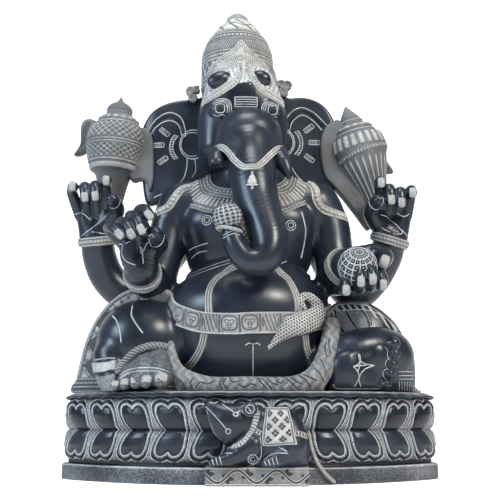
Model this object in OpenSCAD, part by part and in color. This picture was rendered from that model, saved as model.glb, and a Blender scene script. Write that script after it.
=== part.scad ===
// Seated four-armed Ganesha idol in carved black granite on a double lotus pedestal.
// Millimetres, +Z up, the idol faces -Y, origin at the middle of the pedestal's underside.
// Right and left are the idol's own, so its right side lies on -X.
// The stone does not move: every carved piece keeps its place on the one block.

/* [Pedestal] */
// Width of the pedestal, side to side
pedestal_w = 884; // [864:2:900]
// Depth of the pedestal, front to back
pedestal_d = 500; // [480:10:540]
// How far the middle of the front stands out before its corners
front_bow = 190; // [170:5:210]
// Height of the plain plinth
plinth_h = 41; // [30:1:50]
// Height of the dark recess over the plinth
recess_h = 5; // [3:1:8]
// Height of one lotus course
lotus_h = 69; // [60:1:78]
// Thickness of the slab that the figure sits on
slab_h = 16; // [12:1:24]
// Number of petals along the front of one lotus course
front_petals = 11; // [9:1:13]

/* [Torso] */
// Width of the belly at its widest
belly_w = 414; // [400:2:430]
// Depth of the belly at its deepest
belly_d = 304; // [290:2:316]
// Height of the belly over the seat cloth
belly_h = 285; // [280:1:290]
// How far carved bands stand out of the skin
relief_h = 7; // [4:0.5:9]

/* [Limbs] */
// Radius of the upper arms
upper_arm_r = 45; // [40:1:48]
// Radius of the wrists
wrist_r = 33; // [30:1:36]
// Radius of the fingers
finger_r = 14; // [12:0.5:15]
// Radius of the trunk below the face
trunk_r = 48; // [44:1:52]

/* [Head and crown] */
// Half width of the head
head_r = 113; // [106:1:120]
// Radius of the crown's dome
crown_r = 94; // [88:1:98]
// Thickness of the ears
ear_t = 26; // [20:1:32]
// Radius of the sweet ball in the front left hand
ball_r = 46; // [40:1:50]

/* [Hidden] */

polished = "#2a2f38";
chiselled = "#8c8a88";
pale = "#a9aca8";

lower_z = plinth_h + recess_h;
upper_z = lower_z + lotus_h;
slab_z = upper_z + lotus_h;
seat_z = slab_z + slab_h;
cloth_h = 30;
ball_facets = 8;
finger_facets = 6;
ring_facets = 26;
curve_facets = 24;
slice_t = 0.8;

// ---------------------------------------------------------------- helpers

// Catmull-Rom value between b and c; works on numbers and on whole stations
function between(a, b, c, d, t) =
    b + t * (c - a) / 2 + t * t * (a - 2.5 * b + 2 * c - d / 2)
    + t * t * t * (1.5 * b - 1.5 * c + d / 2 - a / 2);

// Stations with extra ones worked out between them, so that a limb bends smoothly
function smooth_run(s, steps) = [
    for (i = [0 : len(s) - 2], k = [0 : steps - 1])
        between(s[max(i - 1, 0)], s[i], s[i + 1], s[min(i + 2, len(s) - 1)], k / steps),
    s[len(s) - 1]
];

// A ball at a station [x, y, z, radius]
module ball(s, grow = 0, facets = ball_facets) {
    translate([s[0], s[1], s[2]])
        sphere(r = s[3] + grow, $fn = facets);
}

// An ellipsoid at a centre, with its three half sizes
module egg(centre, halves, facets = 16) {
    translate(centre)
        scale(halves)
            sphere(r = 1, $fn = facets);
}

// A rounded limb through stations
module limb(stations, steps = 2, grow = 0, facets = ball_facets) {
    run = smooth_run(stations, steps);
    for (i = [0 : len(run) - 2])
        hull() {
            ball(run[i], grow, facets);
            ball(run[i + 1], grow, facets);
        }
}

// One thin oval slice of a torso: [z, half width, half depth, y]
module oval_slice(r, grow = 0) {
    translate([0, r[3], r[0]])
        scale([r[1] + grow, r[2] + grow, 1])
            cylinder(r = 1, h = slice_t, $fn = ring_facets, center = true);
}

// A body built up of oval slices
module drum(slices, grow = 0) {
    for (i = [0 : len(slices) - 2])
        hull() {
            oval_slice(slices[i], grow);
            oval_slice(slices[i + 1], grow);
        }
}

// ---------------------------------------------------------------- pedestal

// Outline of the pedestal: a bowed front between two corners, then straight sides and a straight back
bow_power = 2.4;
front_steps = 30;
half_w = pedestal_w / 2;
half_d = pedestal_d / 2;
function front_y(x) = -half_d + front_bow * pow(abs(x) / half_w, bow_power);
rim_outline = concat(
    [for (i = [0 : front_steps]) let (x = pedestal_w * (i / front_steps - 0.5)) [x, front_y(x)]],
    [[half_w, half_d], [-half_w, half_d]]
);
function rim(inset) = [for (p = rim_outline) [p[0] * (1 - inset / half_w), p[1] * (1 - inset / half_d)]];

// Places at even distances along the bowed front
function run_length(i) = i == 0 ? 0 : run_length(i - 1) + norm(rim_outline[i] - rim_outline[i - 1]);
x_along = [for (i = [0 : front_steps]) [run_length(i), rim_outline[i][0]]];
front_length = run_length(front_steps);
function front_place(s) = let (x = lookup(s, x_along)) [x, front_y(x)];

// A course of the pedestal lofted through [z, inset] levels
module course(levels) {
    n = len(rim_outline);
    points = [
        for (level = levels)
            for (p = rim(level[1]))
                [p[0], p[1], level[0]]
    ];
    sides = [
        for (i = [0 : len(levels) - 2])
            for (j = [0 : n - 1])
                for (half = [0, 1])
                    half == 0
                    ? [i * n + j, (i + 1) * n + (j + 1) % n, i * n + (j + 1) % n]
                    : [i * n + j, (i + 1) * n + j, (i + 1) * n + (j + 1) % n]
    ];
    bottom = [[for (j = [0 : n - 1]) j]];
    top = [[for (j = [n - 1 : -1 : 0]) (len(levels) - 1) * n + j]];
    polyhedron(points = points, faces = concat(bottom, sides, top), convexity = 4);
}

// One petal: a flat heart with its two lobes at the free end
petal_out = 3;
petal_root = 12;
module petal(at, heading, pitch, z_root, z_lobes) {
    translate([at[0], at[1], 0])
        rotate([90, 0, heading])
            translate([0, 0, -petal_root])
                linear_extrude(height = petal_root + petal_out)
                    hull() {
                        for (side = [-1, 1])
                            translate([side * pitch * 0.2, z_lobes])
                                circle(r = pitch * 0.2, $fn = 8);
                        translate([0, z_root])
                            circle(r = pitch * 0.12, $fn = 4);
                    }
}
// Petals round a course: so many along the front, and as near that width along the sides and back
module petals(z_root, z_lobes) {
    pitch = front_length / front_petals;
    for (i = [0 : front_petals - 1]) {
        here = front_place((i + 0.5) * pitch);
        ahead = front_place((i + 0.5) * pitch + 2);
        petal(here, atan2(ahead[1] - here[1], ahead[0] - here[0]), pitch, z_root, z_lobes);
    }
    back_count = round(pedestal_w / pitch);
    back_pitch = pedestal_w / back_count;
    for (i = [0 : back_count - 1])
        petal([half_w - (i + 0.5) * back_pitch, half_d], 180, back_pitch, z_root, z_lobes);
    side_count = round((pedestal_d - front_bow) / pitch);
    side_pitch = (pedestal_d - front_bow) / side_count;
    for (side = [-1, 1])
        for (i = [0 : side_count - 1])
            petal([side * half_w, half_d - (i + 0.5) * side_pitch], side * 90, side_pitch, z_root, z_lobes);
}

module base_plinth() {
    color(chiselled)
        course([[0, 0], [plinth_h, 0], [plinth_h + 0.5, 12], [lower_z, 12]]);
}

module lotus_body(z) {
    course([[z, 15], [z + lotus_h * 0.22, 4], [z + lotus_h * 0.78, 4], [z + lotus_h, 15]]);
}

module lower_lotus_course() {
    color(polished) {
        lotus_body(lower_z);
        petals(lower_z + lotus_h * 0.72, lower_z + lotus_h * 0.34);
    }
}

module upper_lotus_course() {
    color(polished) {
        lotus_body(upper_z);
        petals(upper_z + lotus_h * 0.28, upper_z + lotus_h * 0.66);
    }
}

slab_bevel = 24;
module seat_slab() {
    color(pale)
        course([[slab_z, 10], [slab_z + 0.5, 0], [slab_z + 4, 0], [seat_z, slab_bevel]]);
}

// ---------------------------------------------------------------- mouse

ledge_w = 222;
ledge_front = pedestal_d / 2 + 22;
ledge_x = 15;
mouse_y = -pedestal_d / 2 - 4;
// [x, y, z, radius] from the snout to the rump
mouse_run = [
    [-82, mouse_y, 168, 11], [-62, mouse_y, 156, 20], [-38, mouse_y, 140, 27], [-8, mouse_y, 122, 31],
    [30, mouse_y, 118, 36], [70, mouse_y, 116, 41], [100, mouse_y, 96, 38]
];
module mouse_form(grow = 0) {
    limb(mouse_run, 2, grow);
    limb([[-40, mouse_y, 78, 22], [-56, mouse_y - 4, 54, 13], [-80, mouse_y - 6, 50, 9]], 1, grow);
    limb([[80, mouse_y, 76, 30], [58, mouse_y - 2, 56, 15], [30, mouse_y - 6, 50, 9]], 1, grow);
    limb([[-20, mouse_y, 100, 30], [80, mouse_y, 84, 34]], 1, grow);
    ball([-8, mouse_y - 8, 156, 14], grow);
}
// The mouse lies against the pedestal, so its back is cut off at the front of the courses
module in_front_of_pedestal() {
    difference() {
        children();
        course([[-1, 1], [seat_z + 1, 1]]);
        translate([-half_w, -pedestal_d, 0])
            cube([pedestal_w, 2 * pedestal_d, plinth_h]);
    }
}
module saddle_zone(grow = 0) {
    translate([0, mouse_y, 118])
        rotate([90, 0, 0])
            linear_extrude(height = 120, center = true)
                offset(delta = grow)
                    polygon([[34, 42], [74, 42], [92, -26], [26, -26]]);
}
module saddle_form() {
    intersection() {
        mouse_form(5);
        saddle_zone();
    }
}
module mouse() {
    color(polished)
        in_front_of_pedestal()
            mouse_form();
}
module mouse_saddle_cloth() {
    color(pale)
        in_front_of_pedestal()
            difference() {
                saddle_form();
                mouse_form();
            }
}
// [x, z, radius], laid along the front of the pedestal
tail_run = [[120, 112, 7], [142, 92, 7], [158, 66, 6], [178, 46, 5], [205, 46, 3]];
module mouse_tail() {
    color(pale)
        in_front_of_pedestal()
            difference() {
                limb([for (p = tail_run) [p[0], front_y(p[0]) - 4, p[1], p[2]]], 3);
                mouse_form();
            }
}
module mouse_ledge() {
    color(chiselled)
        difference() {
            translate([ledge_x - ledge_w / 2, -ledge_front, 0])
                cube([ledge_w, 60, plinth_h]);
            course([[-1, 0], [plinth_h + 1, 0]]);
        }
}

// ---------------------------------------------------------------- seat, cloth and legs

// The figure stands on the seat, so its pieces are placed from the seat's surface
module on_seat() {
    translate([0, 0, seat_z])
        children();
}

cloth_front = -196;
module seat_cloth_form() {
    hull() {
        for (side = [-1, 1]) {
            translate([side * 158, cloth_front + 40, 0])
                cylinder(r = 34, h = cloth_h - 8, $fn = 16);
            translate([side * 150, cloth_front + 46, 0])
                cylinder(r = 30, h = cloth_h, $fn = 16);
            translate([side * 140, 110, 0])
                cylinder(r = 30, h = cloth_h, $fn = 16);
        }
    }
}

// The arched cloth over each thigh: its outline as [x, z], thicker towards the hip
drape_r = 40;
function drape_front(x) = -52 + 0.45 * max(abs(x) - 300, 0);
function drape_back(x) = abs(x) > 300 ? 26 : 66;
module drape_form(points, foot) {
    hull() {
        for (p = points)
            for (y = [drape_front(p[0]), drape_back(p[0])])
                translate([p[0], y, p[1]])
                    sphere(r = drape_r, $fn = ball_facets);
        for (x = foot)
            for (y = [drape_front(x), drape_back(x)])
                translate([x, y, 0])
                    cylinder(r = drape_r - 6, h = drape_r, $fn = ball_facets);
    }
}
right_drape_points = [[-375, 96], [-352, 160], [-304, 212], [-250, 228], [-176, 190]];
right_drape_foot = [-378, -176];
left_drape_points = [[346, 96], [328, 160], [284, 208], [240, 222], [176, 186]];
left_drape_foot = [350, 176];

right_leg_run = [
    [-150, -6, 120, 72], [-215, -20, 158, 68], [-272, -46, 172, 66], [-300, -72, 128, 68],
    [-304, -84, 78, 60], [-284, -100, 42, 40]
];
module right_leg_form(grow = 0) {
    limb(right_leg_run, 2, grow);
}
left_leg_run = [
    [150, -6, 96, 66], [230, -20, 118, 70], [302, -40, 112, 66], [318, -74, 84, 58], [262, -100, 74, 48],
    [222, -104, 62, 46]
];
module left_leg_form(grow = 0) {
    limb(left_leg_run, 2, grow);
}

right_toes = [[-196, 17], [-228, 15], [-255, 14], [-279, 13], [-302, 12]];
// The toes follow the bow of the pedestal
function toe_y(x) = -204 + 0.42 * max(abs(x) - 196, 0);
module right_foot_form() {
    limb([[-230, -96, 38, 38], [-234, -138, 36, 36], [-238, -164, 24, 24]], 2);
    for (t = right_toes)
        hull() {
            ball([-238 + (t[0] + 238) * 0.5, -138, 28, 24], 0, finger_facets);
            ball([t[0], toe_y(t[0]), t[1], t[1]], 0, finger_facets);
        }
}
// The left foot lies on its side with the sole to the front
left_toes = [[331, 128, 15], [337, 98, 12], [333, 74, 12], [331, 51, 11], [327, 29, 11]];
module left_foot_form() {
    hull() {
        egg([228, -150, 56], [36, 26, 50]);
        egg([290, -130, 76], [38, 24, 62]);
        egg([262, -134, 50], [50, 24, 44]);
    }
    for (t = left_toes)
        hull() {
            ball([t[0] - 36, -122, t[1] * 0.8 + 14, t[2]], 0, finger_facets);
            ball([t[0], -130, t[1], t[2]], 0, finger_facets);
        }
}
module right_anklet_form() {
    limb([
        [-322, -116, 34, 9], [-292, -136, 66, 10], [-248, -138, 88, 10], [-206, -126, 94, 9],
        [-180, -104, 92, 8]
    ], 2, 0, finger_facets);
}
module left_anklet_form() {
    limb([
        [206, -120, 118, 8], [246, -134, 132, 9], [286, -130, 142, 9], [330, -116, 138, 8], [352, -98, 126, 7]
    ], 2, 0, finger_facets);
}
module above_seat() {
    intersection() {
        children();
        translate([-half_w, -half_d, 0])
            cube([pedestal_w, pedestal_d, pedestal_w]);
    }
}

module seat_cloth() {
    color(chiselled)
        on_seat()
            seat_cloth_form();
}
module right_thigh_drape() {
    color(chiselled)
        on_seat()
            difference() {
                drape_form(right_drape_points, right_drape_foot);
                right_leg_form();
                belly_room();
                seat_cloth_form();
                arm_form(right_front_arm_run);
                arm_form(right_rear_arm_run);
            }
}
module left_thigh_drape() {
    color(chiselled)
        on_seat()
            difference() {
                drape_form(left_drape_points, left_drape_foot);
                left_leg_form();
                belly_room();
                seat_cloth_form();
                arm_form(left_front_arm_run);
                arm_form(left_rear_arm_run);
            }
}
module right_leg() {
    color(polished)
        on_seat()
            above_seat()
                difference() {
                    right_leg_form();
                    belly_room();
                    seat_cloth_form();
                    right_foot_form();
                    right_anklet_form();
                    arm_form(right_front_arm_run);
                    hand_place(right_front_place)
                        hand_form(right_fingers);
                }
}
module left_leg() {
    color(polished)
        on_seat()
            above_seat()
                difference() {
                    left_leg_form();
                    belly_room();
                    seat_cloth_form();
                    left_foot_form();
                    left_anklet_form();
                    left_front_hand_form();
                    arm_form(left_front_arm_run);
                }
}
module right_foot() {
    color(polished)
        on_seat()
            above_seat()
                difference() {
                    right_foot_form();
                    seat_cloth_form();
                    right_anklet_form();
                }
}
module left_foot() {
    color(polished)
        on_seat()
            above_seat()
                difference() {
                    left_foot_form();
                    seat_cloth_form();
                    left_anklet_form();
                }
}
module right_anklet() {
    color(pale)
        on_seat()
            difference() {
                right_anklet_form();
                belly_room();
            }
}
module left_anklet() {
    color(pale)
        on_seat()
            difference() {
                left_anklet_form();
                belly_room();
            }
}

// ---------------------------------------------------------------- torso

// Belly slices: height, width and depth as shares of the belly's own sizes
belly_shares = [
    [0.00, 0.74, 0.78], [0.05, 0.84, 0.88], [0.12, 0.91, 0.94], [0.21, 0.95, 0.97], [0.42, 1.00, 1.00],
    [0.60, 0.99, 0.96], [0.74, 0.91, 0.88], [0.88, 0.77, 0.79], [1.00, 0.68, 0.71]
];
belly_lean = 28;
belly_slices = [
    for (s = belly_shares)
        [cloth_h + s[0] * belly_h, s[1] * belly_w / 2, s[2] * belly_d / 2, -20 + s[0] * belly_lean]
];
chest_z = cloth_h + belly_h;
// [z, half width, half depth, y]
chest_slices = [
    [chest_z, 0.34 * belly_w, 0.355 * belly_d, 8], [chest_z + 45, 150, 110, 8], [chest_z + 95, 165, 110, 8],
    [chest_z + 145, 180, 100, 11], [chest_z + 185, 150, 85, 15], [chest_z + 220, 95, 70, 18],
    [chest_z + 250, 75, 62, 21]
];
module belly_form(grow = 0) {
    drum(belly_slices, grow);
}
// What the belly takes out of its neighbours: it runs on down into the seat, so no sliver is left
module belly_room() {
    foot = belly_slices[0];
    drum(concat([[-cloth_h, foot[1], foot[2], foot[3]]], belly_slices));
}
module chest_form(grow = 0) {
    drum(chest_slices, grow);
}

// A carved band: the part of the skin, raised by relief_h, that lies in a zone
module belly_relief() {
    difference() {
        intersection() {
            belly_form(relief_h);
            children();
        }
        belly_form();
    }
}

band_z = 148;
band_h = 48;
module band_zone() {
    translate([0, 0, band_z])
        rotate([-8, 0, 0])
            cube([2 * belly_w, 2 * belly_d, band_h], center = true);
}
strap_w = 20;
strap_x = 98;
strap_lean = 5;
module strap_zones() {
    for (side = [-1, 1])
        translate([side * strap_x, -belly_d / 2, band_z])
            rotate([0, side * strap_lean, 0])
                cube([strap_w, belly_d, 2 * belly_h - 80], center = true);
}
snake_run = [
    [150, -128, 186, 8], [134, -150, 212, 9], [112, -162, 196, 9], [128, -158, 168, 20], [118, -160, 146, 24],
    [84, -172, 144, 20], [62, -178, 128, 12], [42, -180, 96, 5]
];
module snake_form() {
    limb(snake_run, 2);
}

module belly() {
    color(polished)
        on_seat()
            belly_form();
}
module waist_band() {
    color(chiselled)
        on_seat()
            difference() {
                belly_relief()
                    band_zone();
                snake_form();
                right_leg_form();
                left_leg_form();
            }
}
module belly_straps() {
    color(pale)
        on_seat()
            difference() {
                belly_relief()
                    strap_zones();
                band_zone();
                snake_form();
                trunk_form();
            }
}
module snake_belt() {
    color(chiselled)
        on_seat()
            difference() {
                snake_form();
                belly_form();
            }
}
module chest() {
    color(polished)
        on_seat()
            difference() {
                chest_form();
                trunk_form();
            }
}
collar_z = chest_z + 236;
module collar_zone() {
    translate([-4, -40, collar_z])
        scale([1, 0.9, 0.8])
            sphere(r = 168, $fn = 18);
}
module necklace() {
    color(chiselled)
        on_seat()
            difference() {
                intersection() {
                    chest_form(relief_h);
                    collar_zone();
                }
                chest_form();
                head_form();
                trunk_form();
                arm_form(right_front_arm_run);
                arm_form(left_front_arm_run);
            }
}

// ---------------------------------------------------------------- head

head_x = -20;
head_z = 690;
crown_x = -34;
crown_y = 40;
crown_z = 800;
module head_form() {
    hull() {
        egg([head_x, 24, head_z], [head_r, 98, 112]);
        egg([head_x, 16, head_z - 70], [head_r * 0.9, 84, 84]);
        egg([crown_x, 34, crown_z - 20], [crown_r, 90, 40]);
    }
    for (side = [-1, 1])
        egg([head_x + side * 52, -38, head_z + 88], [27, 22, 32]);
}
trunk_run = [
    [0, -74, 628, 80], [4, -96, 566, 72], [6, -128, 512, 62], [17, -146, 448, 54], [33, -168, 394, trunk_r],
    [45, -186, 348, 44], [42, -200, 312, 37], [20, -208, 293, 31], [-10, -210, 300, 28], [-33, -208, 330, 25],
    [-43, -204, 362, 22]
];
module trunk_form() {
    limb(trunk_run, 2, 0, ball_facets);
}
sweet_at = [-52, -204, 396];
module sweet_form() {
    egg(sweet_at, [33, 30, 32], 24);
}
broken_tusk_run = [[-70, -64, 600, 20], [-82, -104, 566, 18], [-84, -114, 552, 17]];
full_tusk_run = [[62, -70, 590, 24], [80, -108, 560, 19], [90, -122, 536, 12], [94, -128, 514, 4]];

// Ear outlines as [x, z], each closed back to a root beside the head
right_ear_root = [-128, 30, 690];
right_ear_edge = [
    [-150, 776], [-186, 774], [-228, 762], [-266, 736], [-288, 694], [-290, 636], [-284, 570], [-272, 500],
    [-236, 534], [-150, 580]
];
left_ear_root = [98, 30, 690];
left_ear_edge = [
    [108, 778], [146, 782], [184, 768], [214, 736], [230, 692], [236, 636], [240, 570], [246, 516],
    [212, 536], [122, 590]
];
ear_y = 58;
module ear_form(root, edge) {
    for (i = [0 : len(edge) - 2])
        hull() {
            translate(root)
                sphere(r = ear_t, $fn = ball_facets);
            for (p = [edge[i], edge[i + 1]])
                translate([p[0], ear_y, p[1]])
                    sphere(r = ear_t / 2, $fn = ball_facets);
        }
}
module ear_flower_form(at) {
    translate(at)
        rotate([90, 0, 0]) {
            cylinder(r = 16, h = 34, $fn = 14);
            for (a = [0 : 60 : 300])
                rotate([0, 0, a])
                    translate([15, 0, 0])
                        cylinder(r = 9, h = 28, $fn = 14);
        }
}

module head() {
    color(polished)
        on_seat()
            difference() {
                head_form();
                chest_form();
                trunk_form();
                crown_band_form();
                crown_plaque_form();
                translate([crown_x, crown_y, crown_z + 500])
                    cube(1000, center = true);
            }
}
module trunk() {
    color(polished)
        on_seat()
            difference() {
                trunk_form();
                belly_form();
                sweet_form();
                limb(broken_tusk_run, 2);
                limb(full_tusk_run, 2);
                trunk_bell_form();
            }
}
module trunk_sweet() {
    color(pale)
        on_seat()
            sweet_form();
}
module trunk_tassel() {
    color(pale)
        on_seat()
            difference() {
                limb([[2, -112, 392, 18], [-4, -128, 366, 22], [0, -150, 334, 22], [8, -172, 320, 14]], 3);
                trunk_form();
                belly_form();
                chest_form();
                sweet_form();
            }
}
module trunk_bell_form() {
    translate([6, -186, 470])
        rotate_extrude($fn = 32)
            polygon([[0, 0], [13, 0], [13, 5], [9, 12], [7, 24], [4, 30], [0, 31]]);
}
module trunk_bell() {
    color(pale)
        on_seat()
            trunk_bell_form();
}
module broken_tusk() {
    color(polished)
        on_seat()
            difference() {
                limb(broken_tusk_run, 5);
                head_form();
                translate([-84, -130, 520])
                    rotate([20, 0, 0])
                        cube([80, 80, 60], center = true);
            }
}
module full_tusk() {
    color(polished)
        on_seat()
            difference() {
                limb(full_tusk_run, 3);
                head_form();
            }
}
module right_ear() {
    color(polished)
        on_seat()
            difference() {
                ear_form(right_ear_root, right_ear_edge);
                head_form();
                chest_form();
                right_conch_form();
                arm_form(right_rear_arm_run);
                arm_form(right_front_arm_run);
            }
}
module left_ear() {
    color(polished)
        on_seat()
            difference() {
                ear_form(left_ear_root, left_ear_edge);
                head_form();
                chest_form();
                left_conch_form();
                arm_form(left_rear_arm_run);
                arm_form(left_front_arm_run);
            }
}
module right_ear_flower() {
    color(chiselled)
        on_seat()
            difference() {
                ear_flower_form([head_x - 128, 46, head_z + 92]);
                head_form();
                ear_form(right_ear_root, right_ear_edge);
            }
}
module left_ear_flower() {
    color(chiselled)
        on_seat()
            difference() {
                ear_flower_form([head_x + 128, 46, head_z + 108]);
                head_form();
                ear_form(left_ear_root, left_ear_edge);
            }
}

// ---------------------------------------------------------------- crown

dome_z = 884;
tier_z = 930;
rings_z = 964;
finial_z = 988;
crown_tip_z = 1020;
module at_crown(z) {
    translate([crown_x, crown_y, z])
        rotate_extrude($fn = curve_facets)
            children();
}
module crown_band_form() {
    at_crown(crown_z)
        polygon([
            [0, 0], [crown_r + 6, 0], [crown_r + 6, 12], [crown_r + 1, 18], [crown_r, dome_z - crown_z - 10],
            [crown_r + 4, dome_z - crown_z - 6], [crown_r + 4, dome_z - crown_z], [0, dome_z - crown_z]
        ]);
}
plaque_y = crown_y - crown_r;
module crown_plaque_form() {
    translate([crown_x + 14, plaque_y + 22, crown_z - 22])
        rotate([90, 0, 0])
            linear_extrude(height = 34)
                polygon([
                    [-52, 0], [52, 0], [56, 30], [50, 62], [34, 92], [12, 122], [0, 140], [-12, 122],
                    [-34, 92], [-50, 62], [-56, 30]
                ]);
}
module crown_band() {
    color(chiselled)
        on_seat()
            difference() {
                crown_band_form();
                crown_plaque_form();
            }
}
module crown_plaque() {
    color(pale)
        on_seat()
            crown_plaque_form();
}
module crown_dome() {
    h = tier_z - dome_z;
    color(chiselled)
        on_seat()
            difference() {
                at_crown(dome_z)
                    polygon([
                        [0, 0], [crown_r, 0], [crown_r - 1, h * 0.3], [crown_r - 4, h * 0.65],
                        [crown_r - 9, h], [0, h]
                    ]);
                crown_plaque_form();
            }
}
module crown_bead_tier() {
    color(chiselled)
        on_seat()
            at_crown(tier_z)
                polygon([
                    [0, 0], [crown_r - 4, 0], [crown_r - 2, 7], [crown_r - 8, 14], [crown_r - 14, 16],
                    [crown_r - 15, 26], [crown_r - 20, 34], [0, 34]
                ]);
}
module crown_top_rings() {
    color(pale)
        on_seat()
            at_crown(rings_z)
                polygon([
                    [0, 0], [crown_r - 30, 0], [crown_r - 34, 8], [crown_r - 44, 11], [crown_r - 42, 17],
                    [crown_r - 54, 24], [0, 24]
                ]);
}
module crown_finial() {
    color(chiselled)
        on_seat()
            at_crown(finial_z)
                polygon([
                    [0, 0], [30, 0], [31, 6], [26, 12], [17, 17], [12, 24], [4, 30],
                    [0, crown_tip_z - finial_z]
                ]);
}

// ---------------------------------------------------------------- arms and hands

right_front_arm_run = [
    [-190, 22, 470, 54], [-206, 16, 420, upper_arm_r + 3], [-216, 6, 350, upper_arm_r],
    [-240, -6, 276, upper_arm_r], [-252, -52, 258, 40], [-258, -100, 274, wrist_r]
];
left_front_arm_run = [
    [186, 22, 470, 54], [204, 16, 420, upper_arm_r + 3], [214, 6, 350, upper_arm_r],
    [218, -10, 280, upper_arm_r], [222, -56, 268, 40], [224, -100, 286, wrist_r]
];
right_rear_arm_run = [
    [-146, 74, 446, 52], [-196, 78, 388, 48], [-256, 74, 306, 46], [-312, 66, 250, 44], [-362, 54, 288, 42],
    [-390, 40, 344, 38], [-398, 26, 386, wrist_r]
];
left_rear_arm_run = [
    [146, 74, 446, 52], [186, 78, 388, 48], [226, 74, 306, 46], [268, 66, 250, 44], [312, 54, 288, 42],
    [346, 40, 344, 38], [358, 26, 386, wrist_r]
];
module arm_form(run) {
    limb(run, 1);
}

// A hand in its own frame: wrist at the origin, fingers up +Z, palm to -Y, thumb on +X.
// Each finger is [x, reach forward, height over the knuckles, drop of the tip]
palm_w = 92;
palm_h = 62;
right_fingers = [[-38, 34, 22, 18], [-14, 36, 30, 20], [12, 36, 34, 18], [36, 26, 40, 8]];
module finger_form(f) {
    limb([
        [f[0], 0, palm_h - 6, finger_r + 1], [f[0], -f[1] * 0.35, palm_h + f[2] * 0.7, finger_r],
        [f[0], -f[1], palm_h + f[2], finger_r - 1], [f[0], -f[1] - 10, palm_h + f[2] - f[3], finger_r - 2]
    ], 1, 0, finger_facets);
}
module hand_form(fingers) {
    hull() {
        for (side = [-1, 1]) {
            ball([side * (wrist_r - 16), 0, 2, 18], 0, finger_facets);
            ball([side * (palm_w / 2 - 16), 0, palm_h - 10, 17], 0, finger_facets);
            ball([side * (palm_w / 2 - 14), -4, palm_h * 0.45, 18], 0, finger_facets);
        }
    }
    for (f = fingers)
        finger_form(f);
    limb([[30, -8, 18, 18], [50, -24, 38, 15], [50, -40, 60, 12]], 1, 0, finger_facets);
}
// A hand's place: [wrist, turn, mirrored]
module hand_place(place) {
    translate(place[0])
        rotate(place[1])
            mirror([place[2], 0, 0])
                children();
}
right_front_place = [[-260, -134, 288], [-8, 0, -6], 0];
right_rear_place = [[-400, 22, 400], [4, -4, 0], 0];
left_rear_place = [[362, 22, 400], [4, 4, 0], 1];
// The front left palm lies upward under the sweet ball, its fingers to the front
ball_at = [252, -158, 288];
module sweet_ball_form(facets = 18) {
    translate(ball_at)
        sphere(r = ball_r, $fn = facets);
}
module left_front_hand_form() {
    difference() {
        union() {
            hull() {
                ball([228, -104, 268, 30], 0, finger_facets);
                ball([226, -150, 238, 20], 0, finger_facets);
                ball([284, -150, 240, 20], 0, finger_facets);
                ball([276, -110, 254, 24], 0, finger_facets);
            }
            for (f = [[222, 268], [244, 258], [266, 262], [288, 254]])
                limb([
                    [f[0], -160, 234, finger_r], [f[0] + 2, -194, 232, finger_r], [f[0] + 4, -208, f[1], 12]
                ], 1, 0, finger_facets);
            limb([[290, -124, 254, 18], [306, -156, 272, 15], [306, -176, 300, 13]], 1, 0, finger_facets);
        }
        sweet_ball_form();
    }
}

module right_front_arm() {
    color(polished)
        on_seat()
            difference() {
                arm_form(right_front_arm_run);
                chest_form();
                belly_room();
                hand_place(right_front_place)
                    hand_form(right_fingers);
                cuff(right_front_cuff);
                cuff(right_armlet_cuff);
            }
}
module left_front_arm() {
    color(polished)
        on_seat()
            difference() {
                arm_form(left_front_arm_run);
                chest_form();
                belly_room();
                left_front_hand_form();
                cuff(left_front_cuff);
                cuff(left_armlet_cuff);
            }
}
module right_rear_arm() {
    color(polished)
        on_seat()
            difference() {
                arm_form(right_rear_arm_run);
                chest_form();
                belly_room();
                arm_form(right_front_arm_run);
                cuff(right_armlet_cuff);
                hand_place(right_rear_place)
                    hand_form(right_fingers);
                cuff(right_rear_cuff);
            }
}
module left_rear_arm() {
    color(polished)
        on_seat()
            difference() {
                arm_form(left_rear_arm_run);
                chest_form();
                belly_room();
                arm_form(left_front_arm_run);
                cuff(left_armlet_cuff);
                hand_place(left_rear_place)
                    hand_form(right_fingers);
                cuff(left_rear_cuff);
            }
}
module right_front_hand() {
    color(polished)
        on_seat()
            difference() {
                hand_place(right_front_place)
                    hand_form(right_fingers);
                cuff(right_front_cuff);
            }
}
module left_front_hand() {
    color(polished)
        on_seat()
            difference() {
                left_front_hand_form();
                cuff(left_front_cuff);
            }
}
module right_rear_hand() {
    color(polished)
        on_seat()
            difference() {
                hand_place(right_rear_place)
                    hand_form(right_fingers);
                cuff(right_rear_cuff);
                right_conch_form();
            }
}
module left_rear_hand() {
    color(polished)
        on_seat()
            difference() {
                hand_place(left_rear_place)
                    hand_form(right_fingers);
                cuff(left_rear_cuff);
                left_conch_form();
            }
}

// Round cuffs: [centre, turn, bore radius, width, thickness]
right_front_cuff = [[-258, -118, 282], [62, 0, 4], 32, 16, 8];
left_front_cuff = [[225, -84, 278], [74, 0, -4], 33, 18, 9];
right_rear_cuff = [[-397, 28, 384], [14, -6, 0], 32, 16, 8];
left_rear_cuff = [[358, 28, 384], [14, 6, 0], 32, 16, 8];
right_armlet_cuff = [[-208, 14, 404], [8, 6, 0], 46, 18, 7];
left_armlet_cuff = [[205, 14, 404], [8, -6, 0], 46, 18, 7];
module cuff(c) {
    translate(c[0])
        rotate(c[1])
            rotate_extrude($fn = curve_facets)
                translate([c[2], -c[3] / 2])
                    polygon([
                        [0, 0], [c[4] * 0.6, 0], [c[4], c[3] * 0.3], [c[4], c[3] * 0.7], [c[4] * 0.6, c[3]],
                        [0, c[3]]
                    ]);
}

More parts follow.
